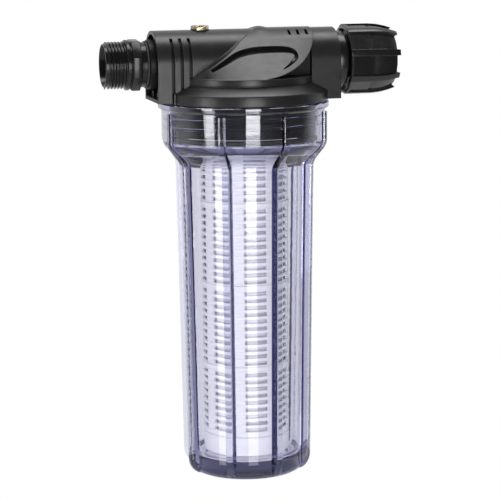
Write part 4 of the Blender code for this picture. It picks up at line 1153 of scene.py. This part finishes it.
@dataclass
class Shield:
    """The leaf-shaped shield on the front of the head, from ring 1 up to the crown."""

    ring_radius: float = 0.0503
    ring_top: float = 0.2885
    foot_z: float = 0.28517
    crown_z: float = 0.3211
    left: float = -0.0460
    right: float = 0.0484
    spread: float = 0.090
    shoulder: Point2 = (0.0160, 0.0186)
    crown: Point2 = (0.0085, 0.0230)
    crown_rise: float = 0.0243
    hump: Point3 = (0.0115, 0.0075, 0.0011)
    flank_foot: float = -0.0412
    flank_top: float = 0.0065
    flank_slope: float = 0.80
    flank_edge: float = 0.01888
    flank_back: float = 0.0236
    flank_lift: float = 0.0040
    flank_drop: float = 0.0160
    round_start: float = -0.0020
    round_lift: float = 0.0009
    slot_first: float = 0.0309
    slot_pitch: float = 0.0063
    slot_count: int = 3
    slot_back: float = 0.0118
    slot_half: float = 0.00095
    slot_reach: float = 0.0033
    slot_depth: float = 0.0028
    leaf_depth: float = 0.0032
    leaf_line: Tuple[Point3, ...] = (
        (-0.0303, 0.0058, 0.0010), (-0.0204, 0.0113, 0.0015), (-0.0108, 0.0160, 0.0019),
        (0.0000, 0.0183, 0.0021), (0.0120, 0.0189, 0.0021), (0.0240, 0.0187, 0.0020),
        (0.0296, 0.0173, 0.0017), (0.0312, 0.0147, 0.0014), (0.0294, 0.0122, 0.0011),
        (0.0240, 0.0086, 0.0006), (0.0190, 0.0062, 0.0002))

    @staticmethod
    def soften(line: Sequence[Point2], rounds: int) -> List[Point2]:
        """Cut the corners of an open line again and again, keeping its ends.

        Args:
            line: The line's points.
            rounds: How often the corners are cut.

        Returns:
            The softened line.
        """
        points = list(line)
        for _ in range(rounds):
            cut = [points[0]]
            for (a, b), (c, d) in zip(points, points[1:]):
                cut += [(a * 0.75 + c * 0.25, b * 0.75 + d * 0.25),
                        (a * 0.25 + c * 0.75, b * 0.25 + d * 0.75)]
            points = cut + [points[-1]]
        return points

    def section(self, x: float) -> List[Point3]:
        """Draw the closed section at one place.

        Args:
            x: The place along X.

        Returns:
            The section's points.
        """
        if x < 0:
            reach = math.sqrt(self.ring_radius ** 2 - x ** 2)
        else:
            reach = self.ring_radius * math.sqrt(1 - (x / self.spread) ** 2)
        reach -= 0.0003
        place, half, height = self.hump
        lift = height * (1 + math.cos(math.pi * min(1.0, abs(x - place) / half))) / 2
        brow = PIPE_HEIGHT + self.crown[1] * 0.3 + self.crown_rise * 0.7 + 0.9 * lift
        face = [(-reach, self.ring_top - 0.0003), (-self.shoulder[0], PIPE_HEIGHT + self.shoulder[1]),
                (-self.crown[0], PIPE_HEIGHT + self.crown[1] + 0.6 * lift), (-self.crown[0] / 2, brow),
                (0.0, PIPE_HEIGHT + self.crown_rise + lift), (self.crown[0] / 2, brow)]
        steps = 9
        slope = [(face[0][0] + (face[1][0] - face[0][0]) * k / steps,
                  face[0][1] + (face[1][1] - face[0][1]) * k / steps) for k in range(steps)]
        outline = [(self.crown[0] / 2, self.foot_z), (-reach, self.foot_z)] + slope[:-1]
        outline += self.soften([slope[-1]] + face[1:], 2)
        return [(x, y, z) for y, z in outline]

    def body(self, name: str) -> bpy.types.Object:
        """Draw the sloping body before its outline is trimmed.

        Args:
            name: The new piece's name.

        Returns:
            The body.
        """
        steps = 72
        return Bench.loft(name, [self.section(self.left + (self.right - self.left) * k / steps)
                                 for k in range(steps + 1)])

    def flank_tool(self) -> bpy.types.Object:
        """Draw the tool that trims the left flank.

        Returns:
            The tool.
        """
        drop = self.crown_z - self.ring_top
        steps, spare = 28, 4
        near, far = [], []
        for step in range(-spare, steps + spare + 1):
            share = step / steps
            x = self.flank_foot + (self.flank_top - self.flank_foot) * share
            rise = drop * (self.flank_slope * share
                           + (1 - self.flank_slope) * math.sin(math.pi * share / 2))
            eased = max(0.0, min(1.0, share))
            near.append((x, -self.flank_edge, self.ring_top + rise))
            far.append((x, -self.ring_radius,
                        self.ring_top + rise + self.flank_lift - self.flank_drop * eased))
        back = [(x, self.flank_back, z) for x, _, z in near]
        high = 2 * self.crown_z
        sections = []
        for line in (back, near, far):
            y = line[0][1]
            sections.append(line + [(line[-1][0], y, high), (2 * self.left, y, high),
                                    (2 * self.left, y, line[0][2])])
        return Bench.loft("flank_tool", sections)

    def right_tool(self) -> bpy.types.Object:
        """Draw the tool that rounds off the right side.

        Returns:
            The tool.
        """
        centre_z = self.crown_z + self.round_lift
        fall = centre_z - self.ring_top + 0.0003
        reach = self.right - self.round_start
        steps = 48
        edge = []
        for step in range(steps + 1):
            angle = math.radians(90.0) * step / steps
            edge.append((self.round_start + reach * math.sin(angle), centre_z - fall * math.cos(angle)))
        low, high = self.ring_top - 0.0050, 2 * self.crown_z
        outline = [(self.round_start, low)] + edge
        outline += [(self.right, high), (2 * self.right, high), (2 * self.right, low)]
        return Bench.loft("right_tool", [[(x, y, z) for x, z in outline]
                                         for y in (-2 * self.ring_radius, self.ring_radius)])

    def leaf_tool(self) -> bpy.types.Object:
        """Draw the tool for the curved groove, with its floor parallel to the shield.

        Returns:
            The tool.
        """
        knots = [Vector((x, z)) for x, z, _ in self.leaf_line]
        halves = [half for _, _, half in self.leaf_line]
        padded = [knots[0] * 2 - knots[1]] + knots + [knots[-1] * 2 - knots[-2]]
        spine: List[Tuple[Vector, float]] = []
        steps = 7
        for k in range(len(knots) - 1):
            a, b, c, d = padded[k:k + 4]
            for step in range(steps):
                t = step / steps
                place = (2 * b + (c - a) * t + (2 * a - 5 * b + 4 * c - d) * t ** 2
                         + (3 * b - a - 3 * c + d) * t ** 3) / 2
                spine.append((place, halves[k] + (halves[k + 1] - halves[k]) * t))
        spine.append((knots[-1], halves[-1]))
        left, right = [], []
        for k, (place, half) in enumerate(spine):
            side = (spine[min(len(spine) - 1, k + 1)][0] - spine[max(0, k - 1)][0]).normalized().orthogonal()
            left.append(place + side * half)
            right.append(place - side * half)
        ahead = (spine[1][0] - spine[0][0]).normalized()
        start, half = spine[0]
        nose = [start - ahead * half * math.cos(a) + ahead.orthogonal() * half * math.sin(a)
                for a in (math.radians(v) for v in (-65, -40, -15, 15, 40, 65))]
        outline = [(point.x, self.ring_top + point.y) for point in left + right[::-1] + nose]
        tool = Bench.loft("leaf_tool", [[(x, y, z) for x, z in outline]
                                        for y in (-2 * self.ring_radius, -self.crown[0])])
        slope = math.atan2(self.crown_rise - (self.ring_top - PIPE_HEIGHT), self.ring_radius)
        floor = self.body("leaf_floor")
        Bench.pick(floor)
        floor.location = (0.0, self.leaf_depth * math.sin(slope), -self.leaf_depth * math.cos(slope))
        bpy.ops.object.transform_apply(location=True, rotation=True, scale=True)
        Bench.merge_solids(tool, floor, "DIFFERENCE")
        return tool

    def slot_tools(self) -> List[bpy.types.Object]:
        """Draw the tools for the three short slots near the top right corner.

        Returns:
            The three tools.
        """
        slope = math.atan2(self.crown[1] - self.shoulder[1], self.shoulder[0] - self.crown[0])
        share = (self.shoulder[0] - self.slot_back) / (self.shoulder[0] - self.crown[0])
        height = PIPE_HEIGHT + self.shoulder[1] + (self.crown[1] - self.shoulder[1]) * share
        tools = []
        for index in range(self.slot_count):
            tool = Bench.block("slot_tool", (-self.slot_half, -self.slot_reach, -self.slot_depth),
                               (self.slot_half, self.slot_reach, 0.0048))
            tool.rotation_euler = (slope, 0.0, 0.0)
            tool.location = (self.slot_first + self.slot_pitch * index, -self.slot_back, height)
            bpy.ops.object.transform_apply(location=True, rotation=True, scale=True)
            tools.append(tool)
        return tools

    def build(self) -> bpy.types.Object:
        """Draw the shield, trim its outline and sink its groove and slots.

        Returns:
            The shield.
        """
        shield = self.body("shield")
        Bench.cut(shield, [self.flank_tool(), self.right_tool(), self.leaf_tool()] + self.slot_tools())
        return shield


@dataclass
class FilterHead:
    """The moulded head, with its skirt thread, and the pipe pieces fixed in it."""

    finishes: Finishes
    skirt_radius: float = 0.0530
    skirt_root: float = 0.0516
    arch_radius: float = 0.0236
    arch_left: float = -0.0665
    arch_right: float = 0.0660
    block_z: float = 0.2714
    head_z: float = 0.2704
    crown_z: float = 0.3211
    pocket_depth: float = 0.0095
    pocket_wall: float = 0.0024
    channel_radius: float = 0.0127
    shaft_radius: float = 0.0095
    shaft_x: float = -0.0355
    shaft_low: float = 0.2400
    channel_start: float = 0.0080
    socket_bore: float = 0.0153
    socket_outside: float = 0.0174
    socket_depth: float = 0.0160
    bleed_x: float = -0.0313
    groove_first: float = -0.0556
    groove_pitch: float = 0.00625
    groove_count: int = 3
    groove_half: float = 0.00105
    groove_depth: float = 0.0020
    groove_arc: float = math.radians(52.0)
    recess_x: Point2 = (0.0080, 0.0445)
    recess_z: Point2 = (0.2835, 0.3139)
    recess_back: float = 0.0180
    boss_y: float = 0.0090
    boss_drop: float = -0.0222
    flange_turn: float = math.radians(26.0)
    thread_pitch: float = 0.0060

    def build_rings(self) -> bpy.types.Object:
        """Turn the cap with its three rings, the skirt's core and the outlet guide.

        Returns:
            The turned body.
        """
        soft = 0.0005
        profile = [(0.0300, 0.2885), (0.0498, 0.2885), (0.0502, 0.2883), (0.0503, 0.2880), (0.0503, 0.2842),
                   (0.0498, 0.2840), (0.0498, 0.2834), (0.0505, 0.2832), (0.0597, 0.2781),
                   (0.0602, 0.2777), (0.0604, 0.2772), (0.0604, self.head_z + soft),
                   (0.0604 - soft, self.head_z), (self.skirt_root, self.head_z),
                   (self.skirt_root, 0.2479), (self.skirt_root - soft, 0.2474), (0.0498, 0.2474),
                   (0.0493, 0.2479), (0.0493, 0.2765), (0.0185, 0.2765), (0.0185, 0.2636),
                   (0.0180, 0.2631), (0.0134, 0.2631), (0.0124, 0.2576), (0.0120, 0.2571)]
        return Bench.turn_profile("rings", profile, 160, solid=True)

    def arch_section(self, x: float, radius: float, bottom: float) -> List[Point3]:
        """Draw the arched outline at one place.

        Args:
            x: The place along X.
            radius: The arch's radius.
            bottom: Height of its open end.

        Returns:
            The outline's points.
        """
        steps = 56
        line = [(x, -radius, bottom)]
        for step in range(steps + 1):
            angle = math.pi - math.pi * step / steps
            line.append((x, radius * math.cos(angle), PIPE_HEIGHT + radius * math.sin(angle)))
        return line + [(x, radius, bottom)]

    def groove_tool(self, x: float) -> bpy.types.Object:
        """Draw the tool for one upright groove on the left block.

        Args:
            x: The groove's middle along X.

        Returns:
            The tool.
        """
        spare = 0.0015
        inner, outer = self.arch_radius - self.groove_depth, self.arch_radius + spare
        steps = 18
        arc = [self.groove_arc * step / steps for step in range(steps + 1)]
        outline = [(-inner, self.block_z - spare)]
        outline += [(-inner * math.cos(a), PIPE_HEIGHT + inner * math.sin(a)) for a in arc]
        outline += [(-outer * math.cos(a), PIPE_HEIGHT + outer * math.sin(a)) for a in reversed(arc)]
        outline.append((-outer, self.block_z - spare))
        return Bench.loft("groove_tool", [[(place, y, z) for y, z in outline]
                                          for place in (x - self.groove_half, x + self.groove_half)])

    def plumbing_tools(self) -> List[bpy.types.Object]:
        """Draw the tools for the outlet socket, the two channels, the drop shaft and the riser.

        Returns:
            The tools.
        """
        across = (0.0, PIPE_HEIGHT)
        return [
            Bench.rod("channel_in", self.channel_radius, self.arch_left + self.channel_start, -0.0240,
                      Axis.PIPE, across),
            Bench.rod("drop_shaft", self.shaft_radius, self.shaft_low, PIPE_HEIGHT, Axis.BOWL,
                      (self.shaft_x, 0.0), 48),
            Bench.rod("socket_out", self.socket_bore, self.arch_right - self.socket_depth,
                      self.arch_right + self.channel_start, Axis.PIPE, across),
            Bench.rod("channel_out", self.channel_radius, -0.0048, self.arch_right - self.channel_start,
                      Axis.PIPE, across),
            Bench.rod("riser", self.shaft_radius, self.shaft_low, PIPE_HEIGHT, Axis.BOWL, (0.0, 0.0), 48)]

    def build_arch(self) -> bpy.types.Object:
        """Draw the pipe body, and sink its grooves, recess, pockets and bores.

        Returns:
            The pipe body.
        """
        steps = 44
        arch = Bench.loft("arch", [
            self.arch_section(self.arch_left + (self.arch_right - self.arch_left) * k / steps,
                              self.arch_radius, self.block_z) for k in range(steps + 1)])
        inner = self.arch_radius - self.pocket_wall
        pockets = []
        for left, right in ((self.arch_left - 0.0024, self.arch_left + self.pocket_depth),
                            (self.arch_right - self.pocket_depth, self.arch_right + 0.0024)):
            pockets.append(Bench.loft("pocket_tool", [
                self.arch_section(x, inner, self.block_z + self.pocket_wall) for x in (left, right)]))
        above = self.crown_z + 0.0189
        tools = [Bench.rod("cavity_tool", 0.0512, self.shaft_low, 0.2813, Axis.BOWL, segments=160)]
        tools += [self.groove_tool(self.groove_first + self.groove_pitch * k)
                  for k in range(self.groove_count)]
        tools.append(Bench.block("recess_tool", (self.recess_x[0], -0.05, self.recess_z[0]),
                                 (self.recess_x[1], -self.recess_back, self.crown_z)))
        tools += Shield().slot_tools() + pockets + self.plumbing_tools()
        tools.append(Bench.rod("socket_in", self.socket_bore, self.arch_left - self.channel_start,
                               self.arch_left + self.socket_depth, Axis.PIPE, (0.0, PIPE_HEIGHT)))
        tools.append(Bench.rod("bleed_bore", 0.00415, PIPE_HEIGHT, above, Axis.BOWL, (self.bleed_x, 0.0), 32))
        tools.append(Bench.rod("bleed_flat", 0.0072, 0.3195, above, Axis.BOWL, (self.bleed_x, 0.0), 48))
        Bench.cut(arch, tools)
        return arch

    def build_sockets(self) -> List[bpy.types.Object]:
        """Turn the two pipe sockets and the small hollow bosses beside them.

        Returns:
            The closed shells.
        """
        shells = []
        for sign, end, proud in ((-1, self.arch_left, 0.0038), (1, self.arch_right, 0.0)):
            root = end - sign * (self.pocket_depth + 0.0020)
            tip = end + sign * proud
            socket = Bench.turn_profile("socket", [
                (self.socket_bore, root), (self.socket_outside, root),
                (self.socket_outside, tip - sign * 0.0004), (self.socket_outside - 0.0004, tip),
                (self.socket_bore, tip)], 96)
            Bench.settle(socket, Axis.PIPE)
            shells.append(socket)
            for side in (-1, 1):
                boss = Bench.turn_profile("boss", [
                    (0.0013, root), (0.0031, root), (0.0031, end - sign * 0.0027),
                    (0.0028, end - sign * 0.0024), (0.0013, end - sign * 0.0024)], 32)
                Bench.settle(boss, Axis.PIPE, Vector((0.0, side * self.boss_y, self.boss_drop)))
                shells.append(boss)
        return shells

    def build_housing(self) -> bpy.types.Object:
        """Draw the moulding from its turned, arched and leaf-shaped bodies.

        Returns:
            The moulding, which replaces the solid head.
        """
        rings = self.build_rings()
        Bench.cut(rings, [Bench.block("trim_tool", (-0.0900, -0.0600, self.head_z - 0.0003),
                                      (-0.05415, -self.arch_radius, self.crown_z))] + self.plumbing_tools())
        arch = self.build_arch()
        shield = Shield().build()
        Bench.cut(shield, self.plumbing_tools())
        for shell in (rings, arch, shield):
            Bench.mirror_front(shell)
            Bench.smooth(shell, 30.0)
        sockets = self.build_sockets()
        housing = Bench.join("head_moulding", [rings, arch, shield] + sockets)
        Bench.smooth(housing, 30.0)
        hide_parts("head_housing")
        Bench.finish(housing, "head", "head_black", self.finishes.head)
        # The skirt, grooves, pockets and recess take the inner finish: painted shade, darker and duller than
        # the rest of the head.
        housing.data.materials.append(self.finishes.inner)
        for face in housing.data.polygons:
            face.material_index = int(self.takes_painted_shade(face.center, face.normal))
        return housing

    def takes_painted_shade(self, place: Vector, normal: Vector) -> bool:
        """Tell whether a face is on the skirt, in a groove, a pocket or the recess, or on a socket, where the
        head is painted darker as shade.

        Args:
            place: The face's middle.
            normal: The way that it faces.

        Returns:
            Whether it takes the darker, duller inner finish, which is painted shade.
        """
        near = 0.0001
        above = math.hypot(place.y, place.z - PIPE_HEIGHT)
        side = abs(place.y) if place.z < PIPE_HEIGHT else above
        skirt = place.z < self.head_z - near and place.xy.length < self.skirt_radius
        middles = [self.groove_first + self.groove_pitch * k for k in range(self.groove_count)]
        groove = (self.arch_radius - self.groove_depth - near < side < self.arch_radius - near
                  and any(abs(place.x - middle) < self.groove_half + near / 2 for middle in middles))
        recess = (self.recess_x[0] - 2 * near < place.x < self.recess_x[1] + 2 * near
                  and self.recess_z[0] + near < place.z < self.recess_z[1] + near
                  and abs(abs(place.y) - self.recess_back) < 2 * near and abs(normal.y) > 0.95)
        pocket = ((place.x < self.arch_left + self.pocket_depth + 2 * near
                   or place.x > self.arch_right - self.pocket_depth - 2 * near)
                  and side < self.arch_radius - self.pocket_wall + near
                  and place.z > self.block_z + self.pocket_wall - near)
        return skirt or groove or recess or pocket

    def build_skirt_thread(self) -> bpy.types.Object:
        """Wind the skirt's outside thread, which runs between the bowl's turns.

        Returns:
            The thread.
        """
        thread = Bench.helix("skirt_thread", self.skirt_root - 0.0004, self.skirt_radius - 0.0002,
                             0.2528, 2.5, self.thread_pitch, 0.0030, 0.0014)
        Bench.smooth(thread, 30.0)
        # The thread takes the inner finish too: painted shade on the skirt under the head.
        Bench.finish(thread, "head", "head_black", self.finishes.inner)
        return thread

    def build_nipple(self) -> bpy.types.Object:
        """Turn the inlet nipple, with its flange, and wind its pipe thread.

        Returns:
            The nipple.
        """
        low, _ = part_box("inlet_nipple")
        left = low.x
        core = Bench.turn_profile("nipple_core", [
            (0.0118, left + 0.0160), (0.0134, left + 0.0100), (0.0142, left + 0.0004), (0.0144, left),
            (0.0150, left), (0.0153, left + 0.0003), (0.0153, left + 0.0146),
            (0.0171, left + 0.0150), (0.0177, left + 0.0156), (0.0177, left + 0.0174),
            (0.0171, left + 0.0180), (0.01625, left + 0.0181), (0.01625, left + 0.0189),
            (0.0159, left + 0.0200), (0.0159, left + 0.0291), (0.0150, left + 0.0291),
            (0.0150, -0.0508), (0.0118, -0.0508)], 96)
        flange = Bench.turn_profile("nipple_flange", [
            (0.0158, left + 0.0189), (0.0182, left + 0.0189), (0.0188, left + 0.0194),
            (0.0188, left + 0.0250), (0.0182, left + 0.0255), (0.0158, left + 0.0255)], 8,
            turn=self.flange_turn)
        Bench.round_edges(flange, 0.0003, 2, 25.0)
        thread = Bench.helix("nipple_thread", 0.0151, 0.016625, left + 0.0012, 5.9,
                             PIPE_THREAD_PITCH, 0.0017, 0.0004)
        for shell in (core, flange, thread):
            Bench.settle(shell, Axis.PIPE)
        nipple = Bench.join("nipple_threaded", [core, flange, thread])
        Bench.smooth(nipple, 28.0)
        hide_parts("inlet_nipple")
        Bench.finish(nipple, "head", "head_black", self.finishes.pipe)
        return nipple

    def build(self) -> None:
        """Build the head's pieces."""
        self.build_housing()
        self.build_skirt_thread()
        self.build_nipple()
        tail = Bench.trace_node("outlet_tailpiece", "tailpiece_turned", 0.0003)
        Bench.finish(tail, "head", "head_black", self.finishes.nut)
        for node, name, body in (("inlet_o_ring", "inlet_seal", "head"),
                                 ("outlet_o_ring", "outlet_seal", "head"),
                                 ("union_gasket", "union_seal", "head"),
                                 ("bowl_o_ring", "bowl_seal_ring", "bowl_seal"),
                                 ("vent_seal", "bleed_seal_ring", "bleed_seal")):
            seal = Bench.trace_node(node, name, 0.0002)
            Bench.finish(seal, body, "seal_rubber", self.finishes.rubber)
        clip = Bench.trace_node("nut_retaining_ring", "retaining_clip", 0.0002)
        Bench.finish(clip, "head", "steel", self.finishes.steel)


@dataclass
class UnionNut:
    """The loose nut at the outlet, with grip ribs, sunk panels and an inner pipe thread."""

    finishes: Finishes
    bore: float = 0.0160
    thread_start: float = 0.0945
    thread_turns: float = 5.6

    def build(self) -> bpy.types.Object:
        """Build the nut and its thread.

        Returns:
            The nut.
        """
        nut = Bench.trace_node("union_nut", "nut_ribbed", 0.0005, 3, 28.0)
        Bench.finish(nut, "nut", "nut_black", self.finishes.nut)
        thread = Bench.helix("nut_thread", self.bore + 0.0006, self.bore - 0.0010, self.thread_start,
                             self.thread_turns, PIPE_THREAD_PITCH, 0.0020, 0.0004)
        Bench.settle(thread, Axis.PIPE)
        Bench.smooth(thread, 28.0)
        Bench.finish(thread, "nut", "nut_black", self.finishes.nut)
        return nut


@dataclass
class BleedScrew:
    """The brass bleed screw on top of the head."""

    finishes: Finishes

    def build(self) -> bpy.types.Object:
        """Build the screw.

        Returns:
            The screw.
        """
        screw = Bench.trace_node("vent_screw", "bleed_screw_turned", 0.0003, 3, 28.0)
        Bench.finish(screw, "bleed_screw", "brass", self.finishes.brass)
        return screw


@dataclass(frozen=True)
class Lamp:
    """One soft rectangular lamp: its place, the point that it faces, its size and its power in watts."""

    name: str
    place: Point3
    aim: Point3
    size: Point2
    power: float

    def build(self) -> None:
        """Hang the lamp."""
        lamp = bpy.data.lights.new(self.name, "AREA")
        lamp.shape = "RECTANGLE"
        lamp.size, lamp.size_y = self.size
        lamp.energy = self.power
        holder = bpy.data.objects.new(self.name, lamp)
        holder.location = self.place
        holder.rotation_euler = (Vector(self.aim) - Vector(self.place)).to_track_quat("-Z", "Y").to_euler()
        bpy.context.scene.collection.objects.link(holder)


@dataclass
class Studio:
    """The floor, the lamps, the white surround and the camera."""

    floor_z: float = -0.3150
    floor_radius: float = 1.10
    room_light: float = 0.60
    room_gloss: float = 0.09
    sweep_gloss: float = 0.90
    wall_glow: float = 0.25
    camera_turn: float = math.radians(14.17)
    camera_yaw: float = math.radians(0.16)
    camera_pitch: float = math.radians(9.90)
    camera_roll: float = math.radians(-0.55)
    camera_distance: float = 1.355
    camera_height: float = 0.3977
    focal_pixels: float = 1896.0
    picture_pixels: float = 500.0
    sensor_width: float = 36.0
    lamps: Tuple[Lamp, ...] = (
        Lamp("overhead_box", (0.0, 0.10, 1.30), (0.0, 0.0, 0.25), (1.2, 0.5), 12.4),
        Lamp("left_strip", (-0.881, -0.456, 0.25), (0.0, 0.0, 0.25), (0.25, 0.46), 3.6),
        Lamp("left_strip_low", (-0.881, -0.456, -0.145), (0.0, 0.0, -0.145), (0.25, 0.33), 0.9),
        Lamp("front_strip", (-0.019, -0.9965, 0.25), (0.0, 0.0, 0.25), (0.34, 0.46), 5.4),
        Lamp("front_strip_low", (-0.019, -0.9965, -0.145), (0.0, 0.0, -0.145), (0.34, 0.33), 1.2))

    def build_floor(self) -> None:
        """Lay a round pale floor that fades into the white surround."""
        Bench.clear_selection()
        bpy.ops.mesh.primitive_circle_add(vertices=96, radius=self.floor_radius, fill_type="NGON",
                                          location=(0.0, 0.0, self.floor_z))
        floor = bpy.context.object
        floor.name = "floor"
        bpy.ops.object.transform_apply(location=True, rotation=True, scale=True)
        material, graph, shader = new_material("floor_pale")
        shader.inputs["Base Color"].default_value = (0.90, 0.90, 0.90, 1.0)
        shader.inputs["Roughness"].default_value = 0.9
        shader.inputs["Specular IOR Level"].default_value = 0.1
        place = graph.add("ShaderNodeTexCoord").outputs["Object"]
        split = graph.add("ShaderNodeSeparateXYZ", Vector=place)
        square = graph.math("ADD", graph.math("POWER", split.outputs["X"], 2.0),
                            graph.math("POWER", split.outputs["Y"], 2.0))
        away = graph.math("SQRT", square)
        share = graph.math("MINIMUM", graph.math("MAXIMUM", graph.math("MULTIPLY", graph.math(
            "SUBTRACT", away, 0.20), 1.4), 0.45), 1.0)
        path = graph.add("ShaderNodeLightPath")
        seen = graph.math("MAXIMUM", path.outputs["Is Camera Ray"], graph.math(
            "MAXIMUM", path.outputs["Is Glossy Ray"], path.outputs["Is Transmission Ray"]))
        glow = graph.add("ShaderNodeEmission", Color=(1.0, 1.0, 1.0, 1.0), Strength=1.0)
        blend = graph.add("ShaderNodeMixShader")
        graph.tree.links.new(graph.math("MULTIPLY", share, seen), blend.inputs[0])
        graph.tree.links.new(shader.outputs[0], blend.inputs[1])
        graph.tree.links.new(glow.outputs[0], blend.inputs[2])
        graph.tree.links.new(blend.outputs[0], material.node_tree.nodes["Material Output"].inputs["Surface"])
        floor.data.materials.append(material)

    def build_surround(self) -> None:
        """Make the world white to the eye, in glass and behind the part, and a dim room in front of it."""
        world = bpy.data.worlds.new("studio_white")
        bpy.context.scene.world = world
        world.use_nodes = True
        graph = Graph(world.node_tree)
        soft = world.node_tree.nodes["Background"]
        soft.inputs["Color"].default_value = (1.0, 1.0, 1.0, 1.0)
        soft.inputs["Strength"].default_value = self.room_light
        white = graph.add("ShaderNodeBackground", Color=(1.0, 1.0, 1.0, 1.0), Strength=1.0)
        way = graph.add("ShaderNodeSeparateXYZ", Vector=graph.add("ShaderNodeTexCoord").outputs["Generated"])
        behind = graph.math("MINIMUM", graph.math("MAXIMUM", graph.math("ADD", graph.math(
            "MULTIPLY", way.outputs["Y"], 2.5), 0.5), self.room_gloss), self.sweep_gloss)
        gloss = graph.add("ShaderNodeBackground", Color=(1.0, 1.0, 1.0, 1.0), Strength=behind)
        path = graph.add("ShaderNodeLightPath")
        straight = graph.math("MULTIPLY", path.outputs["Is Transmission Ray"], graph.math(
            "LESS_THAN", path.outputs["Glossy Depth"], 0.5))
        short = graph.math("LESS_THAN", path.outputs["Transmission Depth"], 2.5)
        turned = graph.math("MULTIPLY", graph.math(
            "MULTIPLY", path.outputs["Is Transmission Ray"], short), self.wall_glow)
        seen = graph.math("MAXIMUM", path.outputs["Is Camera Ray"], graph.math("MAXIMUM", straight, turned))
        inner = graph.add("ShaderNodeMixShader")
        graph.tree.links.new(graph.math("SUBTRACT", 1.0, path.outputs["Is Diffuse Ray"]), inner.inputs[0])
        graph.tree.links.new(soft.outputs[0], inner.inputs[1])
        graph.tree.links.new(gloss.outputs[0], inner.inputs[2])
        outer = graph.add("ShaderNodeMixShader")
        graph.tree.links.new(seen, outer.inputs[0])
        graph.tree.links.new(inner.outputs[0], outer.inputs[1])
        graph.tree.links.new(white.outputs[0], outer.inputs[2])
        graph.tree.links.new(outer.outputs[0], world.node_tree.nodes["World Output"].inputs["Surface"])

    def build_camera(self) -> None:
        """Set the camera where the photograph was taken from."""
        turn, distance = self.camera_turn, self.camera_distance
        azimuth = turn + self.camera_yaw
        pitch, roll = self.camera_pitch, self.camera_roll
        ahead = Vector((math.sin(azimuth) * math.cos(pitch), math.cos(azimuth) * math.cos(pitch),
                        -math.sin(pitch)))
        level = Vector((math.cos(azimuth), -math.sin(azimuth), 0.0))
        above = level.cross(ahead)
        right = level * math.cos(roll) + above * math.sin(roll)
        up = above * math.cos(roll) - level * math.sin(roll)
        lens = bpy.data.cameras.new("photo_camera")
        lens.sensor_width = self.sensor_width
        lens.lens = self.focal_pixels * self.sensor_width / self.picture_pixels
        lens.clip_end = 20.0
        camera = bpy.data.objects.new("photo_camera", lens)
        bpy.context.scene.collection.objects.link(camera)
        matrix = Matrix(((right.x, up.x, -ahead.x), (right.y, up.y, -ahead.y),
                         (right.z, up.z, -ahead.z))).to_4x4()
        matrix.translation = Vector((-distance * math.sin(turn), -distance * math.cos(turn),
                                     self.camera_height))
        camera.matrix_world = matrix
        bpy.context.scene.camera = camera

    def build(self) -> None:
        """Set up the whole studio."""
        self.build_floor()
        self.build_surround()
        self.build_camera()
        for lamp in self.lamps:
            lamp.build()
        bpy.context.scene.view_settings.view_transform = "Standard"


def main() -> None:
    """Build the dressed pre-filter and the studio."""
    logging.basicConfig(level=logging.INFO, format="%(name)s %(message)s")
    finishes = Finishes()
    FilterHead(finishes).build()
    UnionNut(finishes).build()
    BleedScrew(finishes).build()
    ClearBowl(finishes).build()
    Cartridge(finishes).build()
    Studio().build()


if __name__ == "__main__":
    main()
